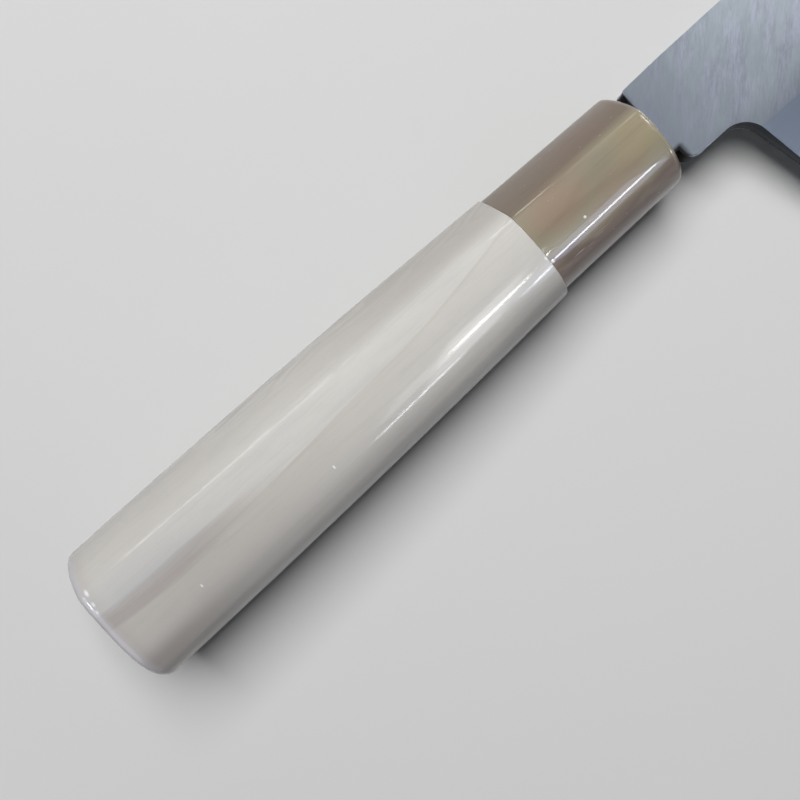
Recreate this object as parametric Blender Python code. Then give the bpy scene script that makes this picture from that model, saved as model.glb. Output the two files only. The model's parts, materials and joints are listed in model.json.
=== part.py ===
"""Kamagata usuba: a single-bevel vegetable knife on a D-section magnolia handle with a horn ferrule.

Metres. Every piece is modelled in the knife's own axes, which start at the middle of the butt:
+X along the handle to the tip, +Y to the spine, +Z out of the bevelled face. At the end the knife
is laid down as it lies on a table, back downwards, with the table at Z = 0.
"""

import math
from collections import namedtuple

import bmesh
import bpy
import numpy as np
from mathutils import Matrix, Vector
from mathutils.geometry import interpolate_bezier

# Handle, over the wood and the ferrule
handle_length = 0.1350
butt_height = 0.0298
butt_thickness = 0.0228
butt_ridge_rise = 0.00705
butt_lift = -0.00015
butt_fullness = 2.9
butt_facet_turn = math.radians(78)
butt_facet_bulge = 0.0009
shoulder_height = 0.0248
shoulder_thickness = 0.0196
shoulder_ridge_rise = 0.0052
shoulder_fullness = 2.2
shoulder_facet_turn = math.radians(95)
shoulder_facet_bulge = 0.0002
handle_belly = 0.0010
ridge_blend = 0.0006
crown_blend = 0.0009
butt_round = 0.0018
shoulder_round = 0.0004

# Horn ferrule
ferrule_length = 0.0309
ferrule_rear_height = 0.0235
ferrule_rear_thickness = 0.0188
ferrule_rear_ridge_rise = 0.0050
ferrule_rear_lift = 0.0003
ferrule_front_height = 0.0221
ferrule_front_thickness = 0.0181
ferrule_front_ridge_rise = 0.0040
ferrule_round = 0.0009

# Tenon of the handle inside the ferrule, and the slot for the tang
tenon_height = 0.0160
tenon_thickness = 0.0118
slot_spare = 0.0030
seat_gap = 0.0003

# Tang
tang_length = 0.0950
tang_root_height = 0.0130
tang_root_lift = 0.0002
tang_tail_height = 0.0060
tang_tail_thickness = 0.0026
tang_tail_chamfer = 0.0020

# Neck, between the ferrule and the heel
shoulder_gap = 0.0019
lower_shoulder_step = 0.0010
neck_height = 0.01865
neck_length = 0.0099
spine_rise = 0.0091
spine_fall = 0.0002
spine_corner_round = 0.0009
neck_corner_round = 0.0024
choil_radius = 0.0061

# Blade
blade_length = 0.1950
blade_height = 0.0461
blade_thickness = 0.0040
tip_thickness = 0.0022
edge_thickness = 0.0001
heel_lean = math.radians(12.5)
sickle_length = 0.0500
sickle_spine_handle = 0.0260
sickle_tip_handle = 0.0266
sickle_tip_lean = math.radians(20)
bevel_width_heel = 0.0230
bevel_width_tip = 0.0200

# Layers and the hollow of the back
edge_steel_share = 0.36
edge_steel_start = 0.0020
weld_gap = 0.00005
hollow_depth = 0.00035
hollow_fade = 0.0300
rim_edge = 0.0015
rim_spine = 0.0025
rim_heel = 0.0050

# Where along the sickle curve the blade touches the table, from 0 at the spine to 1 at the tip
rest_share = 0.80

# Fineness of the solids
section_steps = 56
facet_steps = 6
corner_steps = 3
round_steps = 3
belly_steps = 6
tenon_steps = 48
arc_steps = 8
sickle_steps = 16
blade_step = 0.0100
hollow_lines = 5

knife_name = "kamagata_usuba"
cutters_name = "cutters"

# One end of a piece of the handle. Fullness 2 makes the section an ellipse, more makes it squarer.
# The facet runs from the ridge to its turn, which is measured round the section from its front.
End = namedtuple("End", "x height thickness ridge_rise lift fullness facet_turn bulge")

# Places that follow from the sizes
wood_length = handle_length - ferrule_length
half_blade = blade_thickness / 2
shoulder_x = handle_length + shoulder_gap
lower_shoulder_x = shoulder_x + lower_shoulder_step
tang_tail_x = shoulder_x - tang_length
tang_top = tang_root_lift + tang_root_height / 2
tang_bottom = tang_root_lift - tang_root_height / 2
neck_bottom = spine_rise - neck_height
edge_y = spine_rise - blade_height
choil_x = shoulder_x + neck_length
choil_y = neck_bottom - choil_radius
heel_tangent_x = choil_x + choil_radius * math.cos(heel_lean)
heel_tangent_y = choil_y + choil_radius * math.sin(heel_lean)
heel_x = heel_tangent_x + (heel_tangent_y - edge_y) * math.tan(heel_lean)
tip_x = heel_x + blade_length
edge_steel_x = choil_x + edge_steel_start


def arc(centre_x, centre_y, radius, start, end):
    """Points along an arc in the plane of the blade, from one angle to the other."""
    angles = [start + (end - start) * i / arc_steps for i in range(arc_steps + 1)]
    return [(centre_x + radius * math.cos(a), centre_y + radius * math.sin(a)) for a in angles]


def sickle_handles():
    """The Bezier curve that carries the spine down to the tip: both ends and their handles."""
    start = Vector((tip_x - sickle_length, spine_rise))
    end = Vector((tip_x, edge_y))
    start_handle = start + Vector((sickle_spine_handle, 0))
    lean = Vector((-math.sin(sickle_tip_lean), math.cos(sickle_tip_lean)))
    return start, start_handle, end + sickle_tip_handle * lean, end


def sickle_points():
    """Points along the sickle curve, from the spine to the tip."""
    return interpolate_bezier(*sickle_handles(), sickle_steps + 1)


def sickle_at(share):
    """The point at a share of the sickle curve, and the way the curve runs there."""
    row = list(sickle_handles())
    while len(row) > 2:
        row = [near.lerp(far, share) for near, far in zip(row, row[1:])]
    return row[0].lerp(row[1], share), row[1] - row[0]


def spine_height(x):
    """Y of the blade's upper outline at a place along the blade."""
    points = sickle_points()
    return float(np.interp(x, [p.x for p in points], [p.y for p in points]))


def bevel_line(x):
    """Y of the shinogi, the line where the flat of the blade turns into its bevel."""
    share = (x - heel_x) / blade_length
    width = bevel_width_heel + (bevel_width_tip - bevel_width_heel) * share
    return edge_y + width


def thickness_at(x):
    """Thickness of the plate at the spine: full at the neck, thinner to the tip and to the tang's tail."""
    if x < shoulder_x:
        share = (shoulder_x - x) / tang_length
        return blade_thickness + (tang_tail_thickness - blade_thickness) * share
    share = max(0.0, (x - choil_x) / (tip_x - choil_x))
    return blade_thickness + (tip_thickness - blade_thickness) * share


def front_height(x, y):
    """Z of the bevelled side: the flat above the shinogi, and the bevel below it."""
    if x < shoulder_x:
        return thickness_at(x) / 2
    flat = thickness_at(x) - half_blade
    turn = bevel_line(x)
    if x < choil_x or y >= turn:
        return flat
    share = (turn - y) / (turn - edge_y)
    return flat + (edge_thickness - half_blade - flat) * share


def back_height(x, y):
    """Z of the back: flat rims with one wide, shallow hollow between them."""
    if x < shoulder_x:
        return -thickness_at(x) / 2
    low = edge_y + rim_edge
    high = spine_height(x) - rim_spine
    full = spine_rise - rim_spine - low
    start = heel_x + rim_heel
    if high <= low or x <= start or not low < y < high:
        return -half_blade
    fade = min(1.0, (x - start) / hollow_fade)
    across = (y - low) / (high - low)
    chord = (high - low) / full
    return -half_blade + hollow_depth * chord**2 * math.sin(fade * math.pi / 2) * 4 * across * (1 - across)


def softened(corner, before, after):
    """Points that round a corner off between a point before it and one after it."""
    shares = [i / corner_steps for i in range(corner_steps + 1)]
    return [before.lerp(corner, s).lerp(corner.lerp(after, s), s) for s in shares]


def d_section(end, inset):
    """One section of the handle: an oval with a facet planed from its crown to the ridge.

    The facet is a little convex, by the bulge. The inset draws the whole section in.
    """
    shrink = 1 - 2 * inset / end.height
    half_height = end.height / 2 * shrink
    half_thickness = end.thickness / 2 - inset
    fullness = end.fullness

    def on_oval(turn):
        across, up = math.sin(turn), math.cos(turn)
        reach = (abs(across) ** fullness + abs(up) ** fullness) ** (-1 / fullness)
        return Vector((half_height * reach * across, half_thickness * reach * up))

    def turn_for(turn, length):
        small = 0.001
        return length * 2 * small / (on_oval(turn + small) - on_oval(turn - small)).length

    def on_facet(share):
        return ridge.lerp(crown, share) + 4 * end.bulge * shrink * share * (1 - share) * out

    rise = 2 * end.ridge_rise / end.height
    ridge_turn = math.atan(rise / (1 - rise**fullness) ** (1 / fullness))
    crown_turn = end.facet_turn - 2 * math.pi
    ridge = on_oval(ridge_turn)
    crown = on_oval(crown_turn)
    facet = crown - ridge
    out = Vector((-facet.y, facet.x)).normalized()
    first = ridge_turn - turn_for(ridge_turn, ridge_blend)
    last = crown_turn + turn_for(crown_turn, crown_blend)
    turns = [first + (last - first) * i / section_steps for i in range(section_steps + 1)]
    oval = [on_oval(t) for t in turns]
    near = ridge_blend / facet.length
    far = 1 - crown_blend / facet.length
    planed = [on_facet(far + (near - far) * i / facet_steps) for i in range(facet_steps + 1)]
    crown_corner = softened(crown, oval[-1], planed[0])
    ridge_corner = softened(ridge, planed[-1], oval[0])
    return oval + crown_corner[1:-1] + planed + ridge_corner[1:-1]


def material(name, colour, roughness, metallic):
    """A Principled material for one piece."""
    made = bpy.data.materials.new(name)
    made.use_nodes = True
    shader = made.node_tree.nodes["Principled BSDF"]
    shader.inputs["Base Color"].default_value = (*colour, 1.0)
    shader.inputs["Roughness"].default_value = roughness
    shader.inputs["Metallic"].default_value = metallic
    return made


def add_object(name, mesh, collection):
    """An object for a mesh, in one of the two collections."""
    mesh.name = name
    made = bpy.data.objects.new(name, mesh)
    collection.objects.link(made)
    return made


def finish_mesh(bm, name):
    """A mesh from the bmesh, with its faces pointing out."""
    bmesh.ops.recalc_face_normals(bm, faces=bm.faces)
    mesh = bpy.data.meshes.new(name)
    bm.to_mesh(mesh)
    bm.free()
    return mesh


def loft(name, rings):
    """Bridges closed rings of points, one after another, and closes the two ends."""
    bm = bmesh.new()
    loops = []
    for points in rings:
        verts = [bm.verts.new(p) for p in points]
        loops.append([bm.edges.new(pair) for pair in zip(verts, verts[1:] + verts[:1])])
    for near, far in zip(loops, loops[1:]):
        bmesh.ops.bridge_loops(bm, edges=near + far)
    for edges in (loops[0], loops[-1]):
        bmesh.ops.contextual_create(bm, geom=edges)
    return finish_mesh(bm, name)


def stations_along(length, rear_round, front_round):
    """Where the sections of a D body stand along it, and how far each is drawn in."""
    quarter = math.pi / 2
    turns = [quarter * i / round_steps for i in range(round_steps + 1)]
    rear = [(rear_round * (1 - math.cos(t)), rear_round * (1 - math.sin(t))) for t in turns]
    front = [(length - front_round * (1 - math.sin(t)), front_round * (1 - math.cos(t))) for t in turns]
    inner = length - rear_round - front_round
    middle = [(rear_round + inner * i / belly_steps, 0.0) for i in range(1, belly_steps)]
    return rear + middle + front


def d_body(name, rear, front, rear_round, front_round, belly):
    """Lofts one D section to another, with both ends rounded and a belly between them."""
    length = front.x - rear.x
    rings = []
    for along, inset in stations_along(length, rear_round, front_round):
        share = along / length
        here = End(*(a + (b - a) * share for a, b in zip(rear, front)))
        swell = 1 + 4 * belly * share * (1 - share) / here.height
        here = here._replace(height=here.height * swell, thickness=here.thickness * swell)
        rings.append([Vector((here.x, p.x + here.lift, p.y)) for p in d_section(here, inset)])
    return loft(name, rings)


def oval_bar(name, start_x, end_x, height, thickness):
    """A straight bar of oval section along the handle."""
    bm = bmesh.new()
    place = Matrix.Translation(((start_x + end_x) / 2, 0, 0))
    shape = Matrix.Diagonal((1, height / 2, thickness / 2, 1))
    turn = Matrix.Rotation(math.pi / 2, 4, "Y")
    bmesh.ops.create_cone(
        bm,
        cap_ends=True,
        segments=tenon_steps,
        radius1=1,
        radius2=1,
        depth=end_x - start_x,
        matrix=place @ shape @ turn,
    )
    return finish_mesh(bm, name)


def tapered_bar(name, tail, root):
    """A bar with rectangular ends, each given as (x, low y, high y, half thickness)."""
    bm = bmesh.new()
    bmesh.ops.create_cube(bm, size=2)
    for vert in bm.verts:
        x, low, high, half = root if vert.co.x > 0 else tail
        vert.co = Vector((x, high if vert.co.y > 0 else low, math.copysign(half, vert.co.z)))
    return finish_mesh(bm, name)


def tang_at(x):
    """Lower and upper side of the tang at a place along it."""
    share = (shoulder_x - x) / tang_length
    low = tang_bottom + (-tang_tail_height / 2 - tang_bottom) * share
    high = tang_top + (tang_tail_height / 2 - tang_top) * share
    return low, high


def slot_end(x):
    """One end of the slot's cutter, with the seat gap round the tang."""
    low, high = tang_at(x)
    return x, low - seat_gap, high + seat_gap, thickness_at(x) / 2 + seat_gap


def blade_outline():
    """The outline of the tang, the neck and the blade, once round."""
    quarter = math.pi / 2
    tail_half = tang_tail_height / 2
    chamfer_x = tang_tail_x + tang_tail_chamfer
    tail = [
        (chamfer_x, -tail_half),
        (tang_tail_x, -tail_half + tang_tail_chamfer),
        (tang_tail_x, tail_half - tang_tail_chamfer),
        (chamfer_x, tail_half),
    ]
    upper = [(shoulder_x, tang_top)]
    upper += arc(
        shoulder_x + spine_corner_round,
        spine_rise - spine_fall - spine_corner_round,
        spine_corner_round,
        2 * quarter,
        quarter,
    )
    upper += [(choil_x, spine_rise)]
    upper += [(p.x, p.y) for p in sickle_points()]
    heel = [(heel_x, edge_y)]
    heel += arc(choil_x, choil_y, choil_radius, heel_lean, quarter)
    lower = arc(
        lower_shoulder_x + neck_corner_round,
        neck_bottom + neck_corner_round,
        neck_corner_round,
        3 * quarter,
        2 * quarter,
    )
    lower += [(lower_shoulder_x, tang_bottom)]
    return tail + upper + heel + lower


def plate_mesh(name, outline, half):
    """A flat plate from an outline: a filled 2D curve with thickness, made a mesh."""
    curve = bpy.data.curves.new(name, "CURVE")
    curve.dimensions = "2D"
    curve.fill_mode = "BOTH"
    curve.extrude = half
    spline = curve.splines.new("POLY")
    spline.points.add(len(outline) - 1)
    for point, (x, y) in zip(spline.points, outline):
        point.co = (x, y, 0, 1)
    spline.use_cyclic_u = True
    guide = bpy.data.objects.new(name, curve)
    bpy.context.scene.collection.objects.link(guide)
    bpy.context.view_layer.update()
    evaluated = guide.evaluated_get(bpy.context.evaluated_depsgraph_get())
    mesh = bpy.data.meshes.new_from_object(evaluated)
    bpy.data.objects.remove(guide)
    return mesh


def cut_line(bm, point, normal):
    """Cuts the faces of a bmesh along a plane and keeps both sides."""
    everything = bm.verts[:] + bm.edges[:] + bm.faces[:]
    bmesh.ops.bisect_plane(bm, geom=everything, dist=1e-7, plane_co=point, plane_no=normal)


def blade_mesh(name):
    """The whole blade with its tang: a plate, cut into a grid and drawn to its two faces."""
    mesh = plate_mesh(name, blade_outline(), half_blade)
    bm = bmesh.new()
    bm.from_mesh(mesh)
    bmesh.ops.remove_doubles(bm, verts=bm.verts, dist=1e-6)
    bmesh.ops.dissolve_limit(bm, angle_limit=math.radians(1), verts=bm.verts, edges=bm.edges)
    steps = round(blade_length / blade_step)
    for i in range(1, steps):
        cut_line(bm, (heel_x + blade_length * i / steps, 0, 0), (1, 0, 0))
    cut_line(bm, (choil_x, 0, 0), (1, 0, 0))
    cut_line(bm, (heel_x + rim_heel, 0, 0), (1, 0, 0))
    cut_line(bm, (shoulder_x, 0, 0), (1, 0, 0))
    run = Vector((blade_length, bevel_width_tip - bevel_width_heel, 0))
    cut_line(bm, (heel_x, bevel_line(heel_x), 0), run.cross(Vector((0, 0, 1))))
    low = edge_y + rim_edge
    high = spine_rise - rim_spine
    for i in range(hollow_lines + 2):
        cut_line(bm, (0, low + (high - low) * i / (hollow_lines + 1), 0), (0, 1, 0))
    for vert in bm.verts:
        shape = front_height if vert.co.z > 0 else back_height
        vert.co.z = shape(vert.co.x, vert.co.y)
    bmesh.ops.triangulate(bm, faces=bm.faces)
    return finish_mesh(bm, name)


def steel_space(name, gap):
    """The space of the edge steel: all that lies behind the weld, from the neck to past the tip."""
    clear = blade_thickness
    rear = edge_steel_x - gap
    front = tip_x + clear
    slope = (tip_thickness - blade_thickness) / (tip_x - choil_x) * edge_steel_share
    weld = edge_steel_share * blade_thickness - half_blade
    bm = bmesh.new()
    bmesh.ops.create_cube(bm, size=2)
    for vert in bm.verts:
        x = front if vert.co.x > 0 else rear
        y = spine_rise + clear if vert.co.y > 0 else edge_y - clear
        z = weld + slope * (x - choil_x) + gap if vert.co.z > 0 else -half_blade - clear
        vert.co = Vector((x, y, z))
    return finish_mesh(bm, name)


def boolean(target, cutter, operation):
    """Joins a piece with a cutter, takes the cutter away from it, or keeps what they share."""
    cutter.hide_render = True
    cutter.display_type = "WIRE"
    modifier = target.modifiers.new(cutter.name, "BOOLEAN")
    modifier.object = cutter
    modifier.operation = operation
    modifier.solver = "EXACT"


def shade(piece, angle):
    """Smooth shading that keeps the piece's true corners sharp."""
    piece.data.shade_smooth()
    piece.data.set_sharp_from_angle(angle=angle)


def make_handle(pieces, cutters):
    """The wood: its D body with the tenon, and the slot burnt for the tang."""
    rear = End(
        x=0.0,
        height=butt_height,
        thickness=butt_thickness,
        ridge_rise=butt_ridge_rise,
        lift=butt_lift,
        fullness=butt_fullness,
        facet_turn=butt_facet_turn,
        bulge=butt_facet_bulge,
    )
    front = End(
        x=wood_length,
        height=shoulder_height,
        thickness=shoulder_thickness,
        ridge_rise=shoulder_ridge_rise,
        lift=0.0,
        fullness=shoulder_fullness,
        facet_turn=shoulder_facet_turn,
        bulge=shoulder_facet_bulge,
    )
    body = d_body("magnolia_handle", rear, front, butt_round, shoulder_round, handle_belly)
    handle = add_object("magnolia_handle", body, pieces)
    root_x = wood_length - ferrule_length / 2
    tenon = oval_bar("tenon", root_x, handle_length, tenon_height, tenon_thickness)
    boolean(handle, add_object("tenon", tenon, cutters), "UNION")
    slot = tapered_bar("tang_slot", slot_end(tang_tail_x - slot_spare), slot_end(shoulder_x))
    boolean(handle, add_object("tang_slot", slot, cutters), "DIFFERENCE")
    handle.data.materials.append(material("magnolia_wood", (0.58, 0.55, 0.49), 0.35, 0.0))
    shade(handle, math.radians(30))
    return handle


def make_ferrule(pieces, cutters):
    """The horn ring, a little lower than the wood behind it, bored for the tenon."""
    rear = End(
        x=wood_length + seat_gap,
        height=ferrule_rear_height,
        thickness=ferrule_rear_thickness,
        ridge_rise=ferrule_rear_ridge_rise,
        lift=ferrule_rear_lift,
        fullness=shoulder_fullness,
        facet_turn=shoulder_facet_turn,
        bulge=shoulder_facet_bulge,
    )
    front = End(
        x=handle_length,
        height=ferrule_front_height,
        thickness=ferrule_front_thickness,
        ridge_rise=ferrule_front_ridge_rise,
        lift=0.0,
        fullness=shoulder_fullness,
        facet_turn=shoulder_facet_turn,
        bulge=shoulder_facet_bulge,
    )
    body = d_body("horn_ferrule", rear, front, shoulder_round, ferrule_round, 0.0)
    ferrule = add_object("horn_ferrule", body, pieces)
    over = ferrule_length / 4
    bore = oval_bar(
        "ferrule_bore",
        wood_length - over,
        handle_length + over,
        tenon_height + 2 * seat_gap,
        tenon_thickness + 2 * seat_gap,
    )
    boolean(ferrule, add_object("ferrule_bore", bore, cutters), "DIFFERENCE")
    ferrule.data.materials.append(material("buffalo_horn", (0.29, 0.25, 0.17), 0.15, 0.0))
    shade(ferrule, math.radians(30))
    return ferrule


def make_cladding(pieces, cutters):
    """The soft iron: tang, neck and the front of the blade, without the edge steel's space."""
    cladding = add_object("blade_cladding", blade_mesh("blade_cladding"), pieces)
    space = add_object("cladding_cut", steel_space("cladding_cut", weld_gap), cutters)
    boolean(cladding, space, "DIFFERENCE")
    cladding.data.materials.append(material("soft_iron", (0.30, 0.33, 0.37), 0.35, 1.0))
    return cladding


def make_edge_steel(pieces, cutters):
    """The hard layer: the whole hollow back and the lowest strip of the bevel."""
    steel = add_object("blade_edge_steel", blade_mesh("blade_edge_steel"), pieces)
    space = add_object("edge_steel_space", steel_space("edge_steel_space", 0.0), cutters)
    boolean(steel, space, "INTERSECT")
    steel.data.materials.append(material("edge_steel", (0.42, 0.45, 0.50), 0.18, 1.0))
    return steel


def resting_turn():
    """The turn that lays the knife on its ferrule's lower front edge and on the sickle curve."""
    place, run = sickle_at(rest_share)
    on_blade = Vector((place.x, place.y, -half_blade))
    along_curve = Vector((run.x, run.y, 0.0))
    on_ferrule = Vector((handle_length - ferrule_round, 0.0, -ferrule_front_thickness / 2))
    up = (on_ferrule - on_blade).cross(along_curve).normalized()
    if up.z < 0:
        up.negate()
    across = up.cross(Vector((1, 0, 0))).normalized()
    along = across.cross(up)
    return Matrix((along, across, up)).to_4x4()


def lay_down(objects, pieces):
    """Turns everything onto the table and centres the knife over the origin."""
    holder = bpy.data.objects.new("knife_axes", None)
    bpy.context.scene.collection.objects.link(holder)
    for each in objects:
        each.parent = holder
    turn = resting_turn()
    holder.matrix_world = turn
    bpy.context.view_layer.update()
    graph = bpy.context.evaluated_depsgraph_get()
    corners = []
    for piece in pieces:
        evaluated = piece.evaluated_get(graph)
        corners += [evaluated.matrix_world @ v.co for v in evaluated.data.vertices]
    low = Vector([min(c[i] for c in corners) for i in range(3)])
    high = Vector([max(c[i] for c in corners) for i in range(3)])
    middle = (low + high) / 2
    holder.matrix_world = Matrix.Translation((-middle.x, -middle.y, -low.z)) @ turn
    bpy.context.view_layer.update()


def main():
    """Builds the knife in an empty scene."""
    for old in list(bpy.data.objects):
        bpy.data.objects.remove(old)
    pieces = bpy.data.collections.new(knife_name)
    cutters = bpy.data.collections.new(cutters_name)
    for collection in (pieces, cutters):
        bpy.context.scene.collection.children.link(collection)
    made = [
        make_cladding(pieces, cutters),
        make_edge_steel(pieces, cutters),
        make_ferrule(pieces, cutters),
        make_handle(pieces, cutters),
    ]
    lay_down(made + list(cutters.objects), made)


main()
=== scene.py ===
"""Kamagata usuba: the finished looks of the knife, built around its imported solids.

The knife lies on its back on a pale table. Every piece is shaped in the knife's own axes, which start
at the middle of the butt: +X along the handle to the tip, +Y to the spine, +Z out of the bevelled
face. The last step of each piece carries it into the row frame. Lengths are metres.
"""

import json
import logging
import math
from collections.abc import Iterator
from contextlib import contextmanager
from dataclasses import dataclass, replace
from enum import Enum
from functools import partial, reduce

import bmesh
import bpy
from mathutils import Euler, Matrix, Vector
from mathutils.geometry import interpolate_bezier


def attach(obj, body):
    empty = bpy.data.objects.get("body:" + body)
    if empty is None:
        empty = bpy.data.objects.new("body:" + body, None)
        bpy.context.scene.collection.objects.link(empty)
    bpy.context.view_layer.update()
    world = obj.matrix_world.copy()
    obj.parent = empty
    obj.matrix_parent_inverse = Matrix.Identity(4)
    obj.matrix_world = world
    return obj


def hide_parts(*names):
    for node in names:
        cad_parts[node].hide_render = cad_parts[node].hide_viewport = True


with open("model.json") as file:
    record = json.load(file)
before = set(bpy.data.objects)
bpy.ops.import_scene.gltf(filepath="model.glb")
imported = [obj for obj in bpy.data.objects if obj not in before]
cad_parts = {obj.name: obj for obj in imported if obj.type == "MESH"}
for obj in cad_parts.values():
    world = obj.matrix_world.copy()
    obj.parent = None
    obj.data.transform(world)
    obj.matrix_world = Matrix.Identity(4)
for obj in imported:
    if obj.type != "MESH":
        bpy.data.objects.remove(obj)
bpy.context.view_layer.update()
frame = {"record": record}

BODY = "root"
QUARTER = math.pi / 2

log = logging.getLogger("kamagata_usuba")

Pair = tuple[float, float]
Triple = tuple[float, float, float]
Colour = Triple
Spot = tuple[Triple, Triple]
Socket = bpy.types.NodeSocket
Piece = bpy.types.Object

BLACK: Colour = (0.0, 0.0, 0.0)


def held(share: float) -> float:
    """A share held between 0 and 1."""
    return min(1.0, max(0.0, share))


def even(start: float, length: float, steps: int) -> list[float]:
    """Evenly spaced places along a length, both ends included."""
    return [start + length * i / steps for i in range(steps + 1)]


def posed(place: Vector, *sides: Vector) -> Matrix:
    """The matrix that stands at a place, with its X, Y and Z along three directions."""
    return Matrix.Translation(place) @ Matrix(sides).transposed().to_4x4()


@dataclass(frozen=True)
class KnifeAxes:
    """Where the knife's own axes lie in the row frame.

    Attributes:
        matrix: Carries a point from the knife's axes into the row frame.
    """

    matrix: Matrix

    @classmethod
    def from_record(cls, record: dict) -> "KnifeAxes":
        """Reads the axes from the record's mounts.

        Args:
            record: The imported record, with the mounts butt_face and ura_rim.

        Returns:
            The axes that start at the middle of the butt.
        """
        mounts = {mount["name"]: mount for mount in record["mounts"]}
        along = -Vector(mounts["butt_face"]["axis"]).normalized()
        out = -Vector(mounts["ura_rim"]["axis"]).normalized()
        across = out.cross(along).normalized()
        return cls(posed(Vector(mounts["butt_face"]["pos_m"]), along, across, along.cross(across)))

    def point(self, x: float, y: float, z: float) -> Vector:
        """A point of the knife's axes, in the row frame."""
        return self.matrix @ Vector((x, y, z))

    def direction(self, x: float, y: float, z: float) -> Vector:
        """A direction of the knife's axes, in the row frame."""
        return (self.matrix.to_3x3() @ Vector((x, y, z))).normalized()


class Cut(Enum):
    """How one solid works on another."""

    JOIN = "UNION"
    TAKE_OUT = "DIFFERENCE"
    KEEP_COMMON = "INTERSECT"


class Bench:
    """The few moves of hand modelling that every piece shares."""

    @staticmethod
    def pick(piece: Piece) -> None:
        """Selects one object alone and makes it active.

        Args:
            piece: The object.
        """
        bpy.ops.object.select_all(action="DESELECT")
        piece.select_set(True)
        bpy.context.view_layer.objects.active = piece

    @staticmethod
    def fresh(name: str) -> Piece:
        """Names the primitive just added and applies its turn and size.

        Args:
            name: The piece's name.

        Returns:
            The primitive as an object at the origin.
        """
        piece = bpy.context.active_object
        piece.name = name
        piece.data.name = name
        Bench.pick(piece)
        bpy.ops.object.transform_apply(location=True, rotation=True, scale=True)
        return piece

    @staticmethod
    @contextmanager
    def editing(piece: Piece) -> Iterator[bmesh.types.BMesh]:
        """Opens a piece in edit mode with everything selected.

        Args:
            piece: The mesh object to edit.

        Yields:
            The mesh as bmesh, for selecting and placing points.
        """
        Bench.pick(piece)
        bpy.ops.object.mode_set(mode="EDIT")
        bpy.ops.mesh.select_all(action="SELECT")
        shape = bmesh.from_edit_mesh(piece.data)
        yield shape
        bmesh.update_edit_mesh(piece.data)
        bpy.ops.object.mode_set(mode="OBJECT")

    @staticmethod
    def apply(piece: Piece, kind: str, **settings: object) -> None:
        """Adds a modifier, sets it and applies it.

        Args:
            piece: The object that gets the modifier.
            kind: Blender's name for the kind of modifier.
            **settings: The modifier's settings by name.
        """
        Bench.pick(piece)
        modifier = piece.modifiers.new(kind.lower(), kind)
        for key, value in settings.items():
            setattr(modifier, key, value)
        bpy.ops.object.modifier_apply(modifier=modifier.name)

    @staticmethod
    def carve(piece: Piece, cutter: Piece, cut: Cut) -> None:
        """Works on a piece with another solid and removes that solid.

        Args:
            piece: The piece that stays.
            cutter: The object that is used up.
            cut: How the cutter works on the piece.
        """
        Bench.apply(piece, "BOOLEAN", object=cutter, operation=cut.value, solver="MANIFOLD")
        bpy.data.objects.remove(cutter)

    @staticmethod
    def dress(piece: Piece, material: bpy.types.Material) -> None:
        """Gives a piece one material all over."""
        piece.data.materials.clear()
        piece.data.materials.append(material)

    @staticmethod
    def finish(piece: Piece, axes: KnifeAxes, angle: float, material: bpy.types.Material) -> Piece:
        """Shades a piece smooth, carries it into the row frame and dresses it.

        Args:
            piece: The mesh object, in the knife's axes.
            axes: The knife's axes.
            angle: Corners sharper than this stay sharp, in radians.
            material: The piece's material.

        Returns:
            The same piece.
        """
        Bench.pick(piece)
        bpy.ops.object.shade_smooth_by_angle(angle=angle)
        Bench.apply(piece, "WEIGHTED_NORMAL", keep_sharp=True)
        piece.data.transform(axes.matrix)
        piece.data.update()
        Bench.dress(piece, material)
        return piece


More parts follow.
